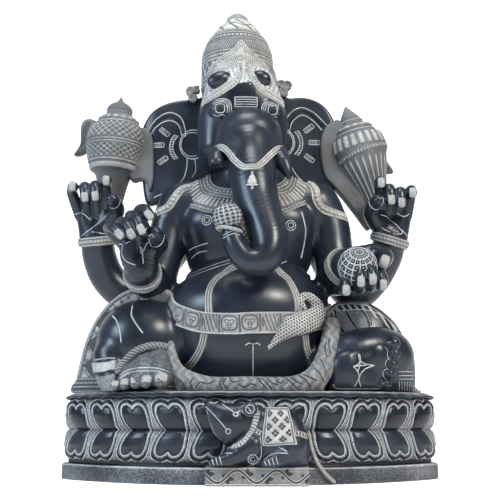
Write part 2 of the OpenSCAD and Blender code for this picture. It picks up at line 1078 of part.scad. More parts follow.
module right_front_bracelet() {
    color(pale)
        on_seat()
            cuff(right_front_cuff);
}
module left_front_bracelet() {
    color(pale)
        on_seat()
            cuff(left_front_cuff);
}
module right_rear_bracelet() {
    color(pale)
        on_seat()
            cuff(right_rear_cuff);
}
module left_rear_bracelet() {
    color(pale)
        on_seat()
            cuff(left_rear_cuff);
}
module right_armlet() {
    color(pale)
        on_seat()
            difference() {
                cuff(right_armlet_cuff);
                chest_form();
            }
}
module left_armlet() {
    color(pale)
        on_seat()
            difference() {
                cuff(left_armlet_cuff);
                chest_form();
            }
}

// ---------------------------------------------------------------- what the hands hold

// A ceremonial conch shell standing on its tail: half outline as [radius, height]
right_conch_outline = [
    [0, 0], [10, 0], [22, 50], [38, 105], [52, 150], [70, 186], [81, 228], [80, 262], [66, 296], [46, 306],
    [44, 318], [30, 322], [33, 336], [22, 352], [8, 366], [0, 378]
];
left_conch_outline = [
    [0, 0], [12, 0], [34, 52], [54, 106], [66, 150], [73, 196], [71, 232], [58, 254], [44, 262], [40, 282],
    [26, 294], [12, 314], [0, 330]
];
module shell(outline) {
    rotate_extrude($fn = curve_facets)
        polygon(outline);
}
module flag(points, r) {
    for (i = [0 : len(points) - 2])
        hull()
            for (p = [points[i], points[i + 1]])
                translate([p[0], 54, p[1]])
                    sphere(r = r, $fn = finger_facets);
}
module right_conch_form() {
    translate([-372, 54, 412])
        rotate([0, 4, 0])
            shell(right_conch_outline);
    hull()
        for (p = [[-286, 700], [-262, 660], [-262, 570], [-292, 540]])
            translate([p[0], 54, p[1]])
                sphere(r = 9, $fn = ball_facets);
    flag([[-416, 704], [-444, 690], [-450, 650], [-440, 630], [-456, 616]], 11);
}
module left_conch_form() {
    translate([346, 50, 430])
        rotate([0, -15.5, 0])
            shell(left_conch_outline);
    hull()
        for (p = [[204, 686], [192, 640], [206, 560], [250, 560]])
            translate([p[0], 54, p[1]])
                sphere(r = 9, $fn = ball_facets);
    flag([[330, 640], [352, 654], [356, 622], [348, 598], [370, 574]], 11);
}
module right_conch() {
    color(chiselled)
        on_seat()
            right_conch_form();
}
module left_conch() {
    color(chiselled)
        on_seat()
            left_conch_form();
}
module sweet_ball() {
    color(pale)
        on_seat()
            sweet_ball_form(curve_facets);
}

base_plinth();
lower_lotus_course();
upper_lotus_course();
seat_slab();
mouse_ledge();
mouse();
mouse_saddle_cloth();
mouse_tail();
seat_cloth();
right_thigh_drape();
left_thigh_drape();
right_leg();
left_leg();
right_foot();
left_foot();
right_anklet();
left_anklet();
belly();
waist_band();
belly_straps();
snake_belt();
chest();
necklace();
head();
right_ear();
left_ear();
right_ear_flower();
left_ear_flower();
trunk();
trunk_sweet();
trunk_tassel();
trunk_bell();
broken_tusk();
full_tusk();
crown_band();
crown_plaque();
crown_dome();
crown_bead_tier();
crown_top_rings();
crown_finial();
right_front_arm();
left_front_arm();
right_rear_arm();
left_rear_arm();
right_front_hand();
left_front_hand();
right_rear_hand();
left_rear_hand();
right_front_bracelet();
left_front_bracelet();
right_rear_bracelet();
left_rear_bracelet();
right_armlet();
left_armlet();
right_conch();
left_conch();
sweet_ball();
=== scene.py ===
"""Seated four-armed Ganesha idol in carved black granite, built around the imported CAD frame.

Shapes are worked out in millimetres, with z counted from the seat, as in part.scad, and turned into metres
when a mesh is made. Each stone piece is modelled like clay: a distance field on a regular grid, made of
balls, eggs and limbs that blend into each other, then meshed. Carved lines are cut into the mesh, and belts,
beads and lattices are laid on it as relief.
"""

import math

import bmesh
import bpy
import numpy as np
import openvdb
from mathutils import Matrix, Vector
from mathutils.bvhtree import BVHTree
from mathutils.kdtree import KDTree


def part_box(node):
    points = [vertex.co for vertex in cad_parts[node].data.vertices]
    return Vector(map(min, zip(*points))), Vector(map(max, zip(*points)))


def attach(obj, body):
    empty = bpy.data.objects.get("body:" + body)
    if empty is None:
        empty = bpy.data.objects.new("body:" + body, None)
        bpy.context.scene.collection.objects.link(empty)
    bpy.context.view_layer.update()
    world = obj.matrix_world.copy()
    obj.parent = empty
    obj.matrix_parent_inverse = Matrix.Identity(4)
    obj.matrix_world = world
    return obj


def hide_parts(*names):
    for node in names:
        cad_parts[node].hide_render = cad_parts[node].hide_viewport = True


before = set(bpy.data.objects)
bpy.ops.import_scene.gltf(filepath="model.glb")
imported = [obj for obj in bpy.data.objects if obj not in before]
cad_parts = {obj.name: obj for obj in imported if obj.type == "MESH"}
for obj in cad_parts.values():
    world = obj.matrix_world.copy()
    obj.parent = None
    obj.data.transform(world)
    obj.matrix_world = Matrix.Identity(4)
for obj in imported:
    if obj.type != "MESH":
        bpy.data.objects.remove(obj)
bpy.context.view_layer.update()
MM = 0.001
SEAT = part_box("seat_slab")[1].z / MM
COARSE = 1.0


# ---------------------------------------------------------------- numbers

def smooth_step(low, high, value):
    t = np.clip((value - low) / (high - low), 0, 1)
    return t * t * (3 - 2 * t)


def soft_min(a, b, blend):
    """The smaller of two distances, with the corner between them rounded over `blend` millimetres."""
    if blend <= 0:
        return np.minimum(a, b)
    h = np.clip(0.5 + 0.5 * (b - a) / blend, 0, 1)
    return b + (a - b) * h - blend * h * (1 - h)


def smooth_run(stations, steps=6, closed=False):
    """Catmull-Rom points through the stations."""
    s = np.array(stations, float)
    n = len(s)
    spans = n if closed else n - 1
    out = []
    for i in range(spans):
        if closed:
            a, b, c, d = s[(i - 1) % n], s[i], s[(i + 1) % n], s[(i + 2) % n]
        else:
            a, b, c, d = s[max(i - 1, 0)], s[i], s[i + 1], s[min(i + 2, n - 1)]
        for k in range(steps):
            t = k / steps
            out.append(b + t * (c - a) / 2 + t * t * (a - 2.5 * b + 2 * c - d / 2)
                       + t ** 3 * (1.5 * b - 1.5 * c + d / 2 - a / 2))
    if not closed:
        out.append(s[-1])
    return np.array(out)


def even_steps(points, step):
    """The same line with points at even distances."""
    points = np.asarray(points, float)
    lengths = np.r_[0, np.cumsum(np.linalg.norm(np.diff(points, axis=0), axis=1))]
    count = max(int(round(lengths[-1] / step)), 2)
    at = np.linspace(0, lengths[-1], count + 1)
    return np.stack([np.interp(at, lengths, points[:, i]) for i in range(points.shape[1])], 1)


def turn_matrix(degrees):
    """Rotation about X, then Y, then Z, in degrees, as OpenSCAD's rotate()."""
    x, y, z = (math.radians(d) for d in degrees)
    return np.array(Matrix.Rotation(z, 3, "Z") @ Matrix.Rotation(y, 3, "Y") @ Matrix.Rotation(x, 3, "X"))


# ---------------------------------------------------------------- clay

class Shape:
    """A solid given by its box and a function for the distance to its surface, negative inside."""

    def __init__(self, low, high, distance):
        self.low = np.array(low, float)
        self.high = np.array(high, float)
        self.distance = distance


def egg(centre, halves, turn=None):
    c = np.array(centre, float)
    h = np.array(halves, float)
    m = None if turn is None else turn_matrix(turn).T

    def distance(x, y, z):
        p = [x - c[0], y - c[1], z - c[2]]
        if m is not None:
            p = [m[i][0] * p[0] + m[i][1] * p[1] + m[i][2] * p[2] for i in range(3)]
        inner = np.sqrt((p[0] / h[0]) ** 2 + (p[1] / h[1]) ** 2 + (p[2] / h[2]) ** 2)
        slope = np.sqrt((p[0] / h[0] ** 2) ** 2 + (p[1] / h[1] ** 2) ** 2 + (p[2] / h[2] ** 2) ** 2)
        return inner * (inner - 1) / np.maximum(slope, 1e-6)

    reach = h if turn is None else np.full(3, h.max())
    return Shape(c - reach, c + reach, distance)


def limb(stations, steps=5, flat=(1, 1, 1)):
    """A rounded limb through stations [x, y, z, radius]; flat widens it along each axis."""
    run = smooth_run(stations, steps)
    flat = np.array(flat, float)
    centres = run[:, :3] / flat
    radii = run[:, 3]

    def distance(x, y, z):
        x, y, z = x / flat[0], y / flat[1], z / flat[2]
        best = None
        for a, b, ra, rb in zip(centres[:-1], centres[1:], radii[:-1], radii[1:]):
            ab = b - a
            t = ((x - a[0]) * ab[0] + (y - a[1]) * ab[1] + (z - a[2]) * ab[2]) / max(ab @ ab, 1e-6)
            t = np.clip(t, 0, 1)
            gap = np.sqrt((x - a[0] - t * ab[0]) ** 2 + (y - a[1] - t * ab[1]) ** 2
                          + (z - a[2] - t * ab[2]) ** 2)
            d = (gap - ra - (rb - ra) * t)
            best = d if best is None else np.minimum(best, d)
        return best * flat.min()

    span = (radii[:, None] * flat[None, :])
    return Shape((run[:, :3] - span).min(0), (run[:, :3] + span).max(0), distance)


def block(low, high, rounding=0):
    low = np.array(low, float)
    high = np.array(high, float)
    c = (low + high) / 2
    h = (high - low) / 2 - rounding

    def distance(x, y, z):
        q = [np.abs(x - c[0]) - h[0], np.abs(y - c[1]) - h[1], np.abs(z - c[2]) - h[2]]
        outside = np.sqrt(sum(np.maximum(v, 0) ** 2 for v in q))
        inside = np.minimum(np.maximum(np.maximum(q[0], q[1]), q[2]), 0)
        return outside + inside - rounding

    return Shape(low, high, distance)


def sheet(outline, middle, thickness, rounding=6):
    """A carved sheet facing the front: a closed outline of [x, z], thickness about the depth middle(x, z)."""
    edge = smooth_run(outline, 5, closed=True)

    def distance(x, y, z):
        px, pz = np.broadcast_arrays(x[:, 0, :], z[:, 0, :])
        inside = np.zeros(px.shape, bool)
        best = np.full(px.shape, 1e9)
        for a, b in zip(edge, np.roll(edge, -1, 0)):
            ab = b - a
            t = np.clip(((px - a[0]) * ab[0] + (pz - a[1]) * ab[1]) / max(ab @ ab, 1e-9), 0, 1)
            best = np.minimum(best, (px - a[0] - t * ab[0]) ** 2 + (pz - a[1] - t * ab[1]) ** 2)
            crossing = (a[1] > pz) != (b[1] > pz)
            with np.errstate(divide="ignore", invalid="ignore"):
                inside ^= crossing & (px < (b[0] - a[0]) * (pz - a[1]) / (b[1] - a[1]) + a[0])
        flat = np.where(inside, -1, 1) * np.sqrt(best)
        flat = flat[:, None, :] + rounding
        deep = np.abs(y - middle(x, z)) - thickness / 2 + rounding
        return (np.sqrt(np.maximum(flat, 0) ** 2 + np.maximum(deep, 0) ** 2)
                + np.minimum(np.maximum(flat, deep), 0) - rounding)

    low = edge.min(0)
    high = edge.max(0)
    ys = [middle(np.array(x), np.array(z)) for x, z in edge]
    return Shape([low[0], min(ys) - thickness, low[1]], [high[0], max(ys) + thickness, high[1]], distance)


class Clay:
    """A lump of clay: a distance field in millimetres on a regular grid."""

    def __init__(self, low, high, cell=3.0):
        self.cell = cell * COARSE
        self.low = np.array(low, float)
        count = np.ceil((np.array(high, float) - self.low) / self.cell).astype(int) + 1
        self.field = np.full(count, 80.0, np.float32)

    def _window(self, shape, reach):
        size = np.array(self.field.shape)
        a = np.clip(np.floor((shape.low - reach - self.low) / self.cell).astype(int), 0, size)
        b = np.clip(np.ceil((shape.high + reach - self.low) / self.cell).astype(int) + 1, 0, size)
        axes = [(self.low[i] + self.cell * np.arange(a[i], b[i])).astype(np.float32) for i in range(3)]
        return tuple(slice(i, j) for i, j in zip(a, b)), np.meshgrid(*axes, indexing="ij", sparse=True)

    def add(self, shape, blend=0):
        where, at = self._window(shape, blend + 4 * self.cell)
        self.field[where] = soft_min(self.field[where], shape.distance(*at), blend)
        return self

    def cut(self, shape, blend=0):
        where, at = self._window(shape, blend + 4 * self.cell)
        self.field[where] = -soft_min(-self.field[where], shape.distance(*at), blend)
        return self

    def keep(self, shape):
        _, at = self._window(Shape(self.low, self.low, None), 1e6)
        self.field = np.maximum(self.field, shape.distance(*at))
        return self

    def keep_above(self, z):
        heights = self.low[2] + self.cell * np.arange(self.field.shape[2])
        self.field = np.maximum(self.field, (z - heights)[None, None, :].astype(np.float32))
        return self

    def mesh(self):
        border = 3 * self.cell
        field = np.clip(self.field, -border, border)
        for axis in range(3):
            for end in (0, -1):
                index = [slice(None)] * 3
                index[axis] = end
                field[tuple(index)] = np.maximum(field[tuple(index)], self.cell * 0.5)
        grid = openvdb.FloatGrid(background=border)
        grid.copyFromArray(field)
        points, quads = grid.convertToQuads()
        return np.array(points) * self.cell + self.low, np.array(quads)


# ---------------------------------------------------------------- meshes

def set_tone(mesh, values):
    """tone: 0 is the piece's own finish, 1 is pale chisel-marked stone, below 0 is painted shade of a recess.
    """
    layer = mesh.attributes.get("tone") or mesh.attributes.new("tone", "FLOAT", "POINT")
    layer.data.foreach_set("value", np.asarray(values, np.float32))


def new_piece(name, points, faces, material, tone=None, lift=None):
    """A mesh object from points in millimetres over the seat, riding on the one body."""
    points = np.asarray(points, float) + [0, 0, SEAT if lift is None else lift]
    mesh = bpy.data.meshes.new(name)
    corners = faces.tolist() if isinstance(faces, np.ndarray) else faces
    mesh.from_pydata((points * MM).tolist(), [], corners)
    mesh.validate()
    mesh.polygons.foreach_set("use_smooth", np.ones(len(mesh.polygons), bool))
    mesh.materials.append(material)
    set_tone(mesh, np.zeros(len(mesh.vertices)) if tone is None else tone)
    piece = bpy.data.objects.new(name, mesh)
    bpy.context.scene.collection.objects.link(piece)
    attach(piece, "root")
    return piece


def show(piece, slot, *nodes):
    if nodes:
        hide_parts(*nodes)
    return piece


# ---------------------------------------------------------------- materials

def granite(name, dark, light, rough_dark, rough_light, speckle, bump):
    """Granite that runs from a polished dark to a chisel-marked pale with the tone attribute, and below a
    tone of 0 into painted shade.
    """
    material = bpy.data.materials.new(name)
    material.use_nodes = True
    nodes = material.node_tree.nodes
    links = material.node_tree.links
    nodes.clear()
    out = nodes.new("ShaderNodeOutputMaterial")
    shader = nodes.new("ShaderNodeBsdfPrincipled")
    links.new(shader.outputs["BSDF"], out.inputs["Surface"])
    shader.inputs["IOR"].default_value = 1.5
    shader.inputs["Specular IOR Level"].default_value = 0.36

    place = nodes.new("ShaderNodeTexCoord")
    tone = nodes.new("ShaderNodeAttribute")
    tone.attribute_name = "tone"

    def noise(scale, detail, rough=0.55):
        node = nodes.new("ShaderNodeTexNoise")
        node.inputs["Scale"].default_value = scale
        node.inputs["Detail"].default_value = detail
        node.inputs["Roughness"].default_value = rough
        links.new(place.outputs["Object"], node.inputs["Vector"])
        return node.outputs["Fac"]

    def mapped(value, low, high, to_low, to_high):
        node = nodes.new("ShaderNodeMapRange")
        node.inputs["From Min"].default_value = low
        node.inputs["From Max"].default_value = high
        node.inputs["To Min"].default_value = to_low
        node.inputs["To Max"].default_value = to_high
        links.new(value, node.inputs["Value"])
        return node.outputs["Result"]

    def math_node(operation, a, b):
        node = nodes.new("ShaderNodeMath")
        node.operation = operation
        for socket, value in zip(node.inputs, (a, b)):
            if isinstance(value, (int, float)):
                socket.default_value = value
            else:
                links.new(value, socket)
        return node.outputs["Value"]

    def mixed(factor, a, b):
        node = nodes.new("ShaderNodeMix")
        node.data_type = "RGBA"
        links.new(factor, node.inputs["Factor"])
        for socket, value in ((node.inputs["A"], a), (node.inputs["B"], b)):
            if isinstance(value, tuple):
                socket.default_value = (*value, 1)
            else:
                links.new(value, socket)
        return node.outputs["Result"]

    cloud = noise(9.0, 5.0)
    grain = noise(420.0, 3.0, 0.6)
    pits = noise(1300.0, 2.0, 0.6)
    dust = noise(38.0, 6.0, 0.65)

    # worn edge of the pale stone: the tone is roughened with grain so that lines break up like chalk
    broken = math_node("ADD", tone.outputs["Fac"], mapped(grain, 0.3, 0.7, -0.18, 0.18))
    pale = mapped(broken, 0.25, 0.75, 0.0, 1.0)
    # painted shade: a tone below 0 stands for shade in a recess, full at -1
    deep = mapped(tone.outputs["Fac"], -1.0, 0.0, 1.0, 0.0)

    dark_low = tuple(c * 0.62 for c in dark)
    dark_high = tuple(min(c * 1.55 + 0.004, 1) for c in dark)
    body = mixed(mapped(cloud, 0.3, 0.7, 0.0, 1.0), dark_low, dark_high)
    flecks = tuple(min(c * 2.6 + 0.02, 1) for c in dark)
    body = mixed(mapped(pits, 0.62, 0.74, 0.0, speckle), body, flecks)
    light_low = tuple(c * 0.66 for c in light)
    light_high = tuple(min(c * 1.22, 1) for c in light)
    chalk = mixed(mapped(dust, 0.3, 0.7, 0.0, 1.0), light_low, light_high)
    colour = mixed(pale, body, chalk)
    # painted shade: mixed towards a third of the dark stone colour, darker than the stone itself
    colour = mixed(deep, colour, tuple(c * 0.3 for c in dark))
    links.new(colour, shader.inputs["Base Color"])

    gloss = mapped(cloud, 0.3, 0.7, rough_dark - 0.05, rough_dark + 0.07)
    roughness = nodes.new("ShaderNodeMix")
    links.new(pale, roughness.inputs["Factor"])
    links.new(gloss, roughness.inputs["A"])
    roughness.inputs["B"].default_value = rough_light
    links.new(roughness.outputs["Result"], shader.inputs["Roughness"])

    relief = math_node("ADD", math_node("MULTIPLY", pale, mapped(grain, 0.3, 0.7, -1.0, 1.0)),
                       math_node("MULTIPLY", pits, bump * 0.3))
    hammer = nodes.new("ShaderNodeBump")
    hammer.inputs["Strength"].default_value = 0.5
    hammer.inputs["Distance"].default_value = 0.0012
    links.new(relief, hammer.inputs["Height"])
    links.new(hammer.outputs["Normal"], shader.inputs["Normal"])
    return material


POLISHED = granite("polished_granite", (0.007, 0.0105, 0.0185), (0.44, 0.45, 0.46), 0.30, 0.85, 0.35, 0.4)
CHISELLED = granite("chiselled_granite", (0.075, 0.078, 0.083), (0.40, 0.39, 0.37), 0.72, 0.88, 0.3, 1.0)


def chiselled(name, points, faces, tone, *nodes):
    """A carved piece in the paler, chisel-marked stone. tone is one value, or one for each point."""
    piece = new_piece(name, points, faces, CHISELLED, np.broadcast_to(tone, len(points)))
    return show(piece, "chiselled_granite", *nodes)


# ---------------------------------------------------------------- carving on a surface

class Skin:
    """The joined surface of some pieces, to lay lines and relief on. Works in millimetres over the seat."""

    def __init__(self, *pieces):
        points = []
        faces = []
        for piece in pieces:
            base = len(points)
            points += [tuple((v.co / MM) - Vector((0, 0, SEAT))) for v in piece.data.vertices]
            faces += [[base + i for i in p.vertices] for p in piece.data.polygons]
        self.tree = BVHTree.FromPolygons(points, faces)

    def cast(self, start, way):
        point, normal, _, _ = self.tree.ray_cast(Vector(start), Vector(way).normalized())
        return point, normal

    def seen(self, outline, step=2.0, smooth=True):
        """A line of [x, z] points thrown onto the skin from the front."""
        line = smooth_run(outline, 8) if smooth else np.array(outline, float)
        out = []
        for x, z in even_steps(line, step):
            point, normal = self.cast((x, -900, z), (0, 1, 0))
            if point is not None:
                out.append((*point, *normal))
        return np.array(out)

    def near(self, point):
        found, normal, _, _ = self.tree.find_nearest(Vector(point))
        return found, normal


def runs(line, gap=14.0):
    """Splits a thrown line where it jumps from one surface to another."""
    if len(line) < 2:
        return []
    jump = np.linalg.norm(np.diff(line[:, :3], axis=0), axis=1) > gap
    return [part for part in np.split(line, np.where(jump)[0] + 1) if len(part) > 2]


def engrave(piece, strokes):
    """Cuts lines into a piece. Each stroke is (points on the skin, half width, depth, tone)."""
    levels = 2
    marks = [(p, stroke) for stroke in strokes for line in runs(stroke[0]) for p in line]
    if not marks:
        return piece
    tree = KDTree(len(marks))
    cells = set()
    size = 7.0
    for i, (p, stroke) in enumerate(marks):
        tree.insert(p[:3], i)
        home = [int(math.floor(c / size)) for c in p[:3]]
        for dx in (-1, 0, 1):
            for dy in (-1, 0, 1):
                for dz in (-1, 0, 1):
                    cells.add((home[0] + dx, home[1] + dy, home[2] + dz))
    tree.balance()
    widest = max(stroke[1] for stroke in strokes)

    def near(co, reach):
        x, y, z = co.x / MM, co.y / MM, co.z / MM - SEAT
        if (int(math.floor(x / size)), int(math.floor(y / size)), int(math.floor(z / size))) not in cells:
            return None
        _, index, gap = tree.find((x, y, z))
        return (index, gap) if gap < reach else None

    bm = bmesh.new()
    bm.from_mesh(piece.data)
    layer = bm.verts.layers.float.get("tone")
    for level in range(levels):
        faces = [f for f in bm.faces if near(f.calc_center_median(), widest + 3.4 - level)]
        edges = {e for f in faces for e in f.edges}
        bmesh.ops.subdivide_edges(bm, edges=list(edges), cuts=1, use_grid_fill=True)
    bm.normal_update()
    moves = []
    for v in bm.verts:
        hit = near(v.co, widest * 1.6)
        if hit:
            _, half, depth, tone = marks[hit[0]][1]
            share = 1 - min(max((hit[1] / half - 0.35) / 0.9, 0), 1)
            share = share * share * (3 - 2 * share)
            moves.append((v, v.co - v.normal * depth * share * MM))
            if abs(tone * share) > abs(v[layer]):
                v[layer] = tone * share
    for v, co in moves:
        v.co = co
    bm.to_mesh(piece.data)
    bm.free()
    piece.data.polygons.foreach_set("use_smooth", np.ones(len(piece.data.polygons), bool))
    return piece


def stroke(line, half=1.7, depth=1.1, tone=1.0):
    return (line, half, depth, tone)


def carved(skin, outline, half=1.7, depth=1.1, tone=1.0, step=1.2):
    """A smooth line drawn from the front and cut into the skin."""
    return stroke(skin.seen(outline, step=step), half, depth, tone)


def grid_faces(rows, columns, wrap_rows=False, wrap_columns=False):
    i = np.arange(rows if wrap_rows else rows - 1)
    j = np.arange(columns if wrap_columns else columns - 1)
    i, j = np.meshgrid(i, j, indexing="ij")
    a = i * columns + j
    b = ((i + 1) % rows) * columns + j
    c = ((i + 1) % rows) * columns + (j + 1) % columns
    d = i * columns + (j + 1) % columns
    return np.stack([a, b, c, d], -1).reshape(-1, 4)


def relief(name, skin, line, width, pattern, material, across=12, skirt=2.0):
    """A strip of carving laid along a line on the skin. pattern(along, over) gives (height, tone):
    along runs in millimetres along the line, over from -width/2 to width/2 across it."""
    centre = line[:, :3]
    normal = line[:, 3:]
    side = np.cross(normal, np.gradient(centre, axis=0))
    side /= np.maximum(np.linalg.norm(side, axis=1, keepdims=True), 1e-9)
    along = np.r_[0, np.cumsum(np.linalg.norm(np.diff(centre, axis=0), axis=1))]
    over = np.linspace(-width / 2, width / 2, across + 1)
    height, tone = pattern(*np.meshgrid(along, over, indexing="ij"))
    rim = np.zeros(over.shape, bool)
    rim[[0, -1]] = True
    height = np.where(rim[None, :], -skirt, height)
    points = np.zeros((len(centre), len(over), 3))
    for i in range(len(centre)):
        for j, u in enumerate(over):
            found, found_normal = skin.near(centre[i] + side[i] * u)
            n = normal[i]
            if found_normal.dot(Vector(n)) > 0.2:
                n = np.array(found_normal)
            points[i, j] = np.array(found) + n * height[i, j]
    faces = grid_faces(len(centre), len(over))
    points[0] -= normal[0] * (skirt + 1)
    points[-1] -= normal[-1] * (skirt + 1)
    return new_piece(name, points.reshape(-1, 3), faces[:, ::-1], material,
                     np.broadcast_to(tone, height.shape).ravel())


def ridge(distance, half):
    """A rounded bump, 1 on the line and 0 past half."""
    t = np.clip(1 - np.abs(distance) / half, 0, 1)
    return t * t * (3 - 2 * t)


def ridges(value, rows):
    """Ridges side by side, each given by its place and half its width."""
    return sum(ridge(value - place, half) for place, half in rows)


def dome(along, over, pitch, centre, radius):
    """Round beads in a row: height of a half ball of this radius at every pitch."""
    a = (along + pitch / 2) % pitch - pitch / 2
    return np.sqrt(np.maximum(radius ** 2 - a ** 2 - (over - centre) ** 2, 0))


def turned(name, base, turn, outline, pattern, material, around=360, step=1.6):
    """A body of revolution with a carved surface, from a half outline of [radius, height].
    pattern(angle, along, radius, height) gives (proud, tone); angle 0 faces the front."""
    line = even_steps(smooth_run(outline, 6), step * COARSE)
    around = int(around / COARSE)
    slope = np.gradient(line, axis=0)
    slope /= np.maximum(np.linalg.norm(slope, axis=1, keepdims=True), 1e-9)
    out_r, out_z = slope[:, 1], -slope[:, 0]
    along = np.r_[0, np.cumsum(np.linalg.norm(np.diff(line, axis=0), axis=1))]
    angle = np.linspace(-math.pi, math.pi, around, endpoint=False)
    angle_grid, along_grid = np.meshgrid(angle, along, indexing="ij")
    proud, tone = pattern(angle_grid, along_grid, line[None, :, 0] + 0 * angle_grid,
                          line[None, :, 1] + 0 * angle_grid)
    radius = np.maximum(line[None, :, 0] + out_r[None, :] * proud, 0.05)
    height = line[None, :, 1] + out_z[None, :] * proud
    points = np.stack([np.sin(angle_grid) * radius, -np.cos(angle_grid) * radius, height + 0 * radius], -1)
    points = points @ turn_matrix(turn).T + np.array(base)
    faces = grid_faces(around, len(line), wrap_rows=True)
    flat = points.reshape(-1, 3)
    columns = len(line)
    caps = [[i * columns for i in range(around)][::-1], [i * columns + columns - 1 for i in range(around)]]
    return new_piece(name, flat, faces.tolist() + caps, material, np.broadcast_to(tone, proud.shape).ravel())


def joined(name, pieces):
    """Joins ornament pieces of one kind into one object."""
    bpy.ops.object.select_all(action="DESELECT")
    for piece in pieces:
        piece.select_set(True)
    bpy.context.view_layer.objects.active = pieces[0]
    bpy.ops.object.join()
    pieces[0].name = name
    return pieces[0]


# ---------------------------------------------------------------- pedestal

PEDESTAL_LOW, PEDESTAL_HIGH = (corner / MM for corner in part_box("base_plinth"))
FRONT_BOW = 190
FRONT_PETALS = 11


def front_y(x):
    """The bowed front of the pedestal."""
    return PEDESTAL_LOW.y + FRONT_BOW * np.abs(x / PEDESTAL_HIGH.x) ** 2.4


def rim_walk(step):
    """Points round the pedestal at even distances from the front's left end, with the petal that each is on.

    Gives the points, their distance from the petal's middle, and the width of the petal.
    """
    x = np.linspace(PEDESTAL_LOW.x, PEDESTAL_HIGH.x, 801)
    front = np.stack([x, front_y(x)], 1)
    back = [[PEDESTAL_HIGH.x, PEDESTAL_HIGH.y], [PEDESTAL_LOW.x, PEDESTAL_HIGH.y]]
    line = np.vstack([front, back, front[:1]])
    gone = np.r_[0, np.cumsum(np.linalg.norm(np.diff(line, axis=0), axis=1))]
    along = np.linspace(0, gone[-1], int(gone[-1] / step) + 1)[:-1]
    points = np.stack([np.interp(along, gone, line[:, i]) for i in (0, 1)], 1)
    starts = gone[[0, 800, 801, 802]]
    ends = gone[[800, 801, 802, 803]]
    counts = np.round((ends - starts) / (ends[0] / FRONT_PETALS))
    stretch = np.searchsorted(starts, along, side="right") - 1
    pitch = ((ends - starts) / counts)[stretch]
    return points, (along - starts[stretch]) % pitch - pitch / 2, pitch


def course(name, profile, pattern, step=1.9, by_height=False):
    """One stone course of the pedestal. The profile is [z, inset], and pattern(across, share, pitch, x) gives
    (proud, tone, lift) over the surface, where across is measured from the middle of a petal and the share is
    of the way along the profile, or of its height."""
    rim, across, pitch = rim_walk(step * COARSE)
    line = even_steps(profile, step * 0.8 * COARSE)
    slope = np.gradient(line, axis=0)
    slope /= np.linalg.norm(slope, axis=1, keepdims=True)
    rise = np.r_[0, np.cumsum(np.linalg.norm(np.diff(line, axis=0), axis=1))]
    share = (line[:, 0] - line[0, 0]) / (line[-1, 0] - line[0, 0]) if by_height else rise / rise[-1]
    across_grid, share_grid = np.meshgrid(across, share, indexing="ij")
    proud, tone, lift = pattern(across_grid, share_grid, pitch[:, None], rim[:, :1])
    inset = line[None, :, 1] - slope[None, :, 0] * proud
    height = line[None, :, 0] + slope[None, :, 1] * proud + lift
    x = rim[:, :1] * (1 - inset / PEDESTAL_HIGH.x)
    y = rim[:, 1:] * (1 - inset / PEDESTAL_HIGH.y)
    points = np.stack([x, y, height + 0 * x], -1).reshape(-1, 3)
    rows, columns = len(rim), len(line)
    faces = grid_faces(rows, columns, wrap_rows=True).tolist()
    faces += [[i * columns for i in range(rows)][::-1], [i * columns + columns - 1 for i in range(rows)]]
    tone = np.broadcast_to(tone, proud.shape).ravel()
    return new_piece(name, points, faces, POLISHED, tone, lift=0)


PETAL_HEART = [[0.25, -0.25], [0.31, 0.05], [0.36, 0.32], [0.37, 0.56], [0.31, 0.76], [0.18, 0.83],
               [0.07, 0.78], [0, 0.69]]
PETAL_RIM = [[0.33, -0.25], [0.39, 0.05], [0.43, 0.32], [0.445, 0.56], [0.41, 0.82], [0.23, 0.98],
             [0.08, 0.95], [0, 0.89]]


def petal_gap(outline, across, rise, pitch, height):
    """Distance to a petal's outline, negative inside: two lobes at the free end over a narrower root."""
    half = smooth_run(outline, 3)
    u = np.abs(across)
    best = np.full(u.shape, 1e9)
    inside = np.zeros(u.shape, bool)
    for a, b in zip(half[:-1], half[1:]):
        ax, az = a[0] * pitch, a[1] * height
        rx, rz = (b[0] - a[0]) * pitch, (b[1] - a[1]) * height
        t = np.clip(((u - ax) * rx + (rise - az) * rz) / (rx * rx + rz * rz), 0, 1)
        best = np.minimum(best, np.hypot(u - ax - t * rx, rise - az - t * rz))
        crossing = (az > rise) != (az + rz > rise)
        if abs(rz) > 1e-9:
            inside ^= crossing & (u < rx * (rise - az) / rz + ax)
    return np.where(inside, -best, best)


def petal_carving(across, share, pitch, height, up, x):
    """Relief of a row of petals: a bulging heart in a pale rim, a hollow painted dark as shade, and an outer
    rim.
    """
    free = share if up else 1 - share
    rise = free * height
    lean = 26 * np.tanh(x / 150) * (free - 0.6)
    across = (across - lean + pitch / 2) % pitch - pitch / 2
    heart = petal_gap(PETAL_HEART, across, rise, pitch, height)
    rim = petal_gap(PETAL_RIM, across, rise, pitch, height)
    line = ridge(heart + 1.2, 2.4)
    band = smooth_step(0, 1, heart) * smooth_step(4.6, 3.6, heart) * smooth_step(0.5, -1, rim)
    edge = ridge(rim - 1.2, 2.0)
    ground = smooth_step(0.5, 2.5, rim)
    hollow = smooth_step(3.8, 5.2, heart) * smooth_step(-0.2, -1.6, rim)
    crown = np.clip(1 - (across / pitch / 0.42) ** 2 - ((free - 0.4) / 0.62) ** 2, 0, 1)
    bulge = crown * smooth_step(-2, -9, heart)
    proud = 7.0 * bulge + 2.6 * line + 1.4 * band + 1.6 * edge + 0.8 * ground - 3.4 * hollow - 1.0
    dimples = ground * (0.38 + 0.12 * np.cos(across * 1.7))
    tone = np.clip(0.95 * line + 0.42 * band + 0.72 * edge + dimples, 0, 1)
    # painted shade: the hollow round the heart is painted dark
    tone = np.where((hollow > 0.4) & (tone < 0.25), -0.8, tone)
    # painted shade and light: the heart is painted darker towards the bottom of each course, and a little
    # paler at the top of the lower course, where it catches the light from above
    inside = smooth_step(-2, -4, heart)
    depth = (-0.7 + 0.2 * free) if up else (0.2 - 0.7 * free)
    return proud, tone + inside * depth


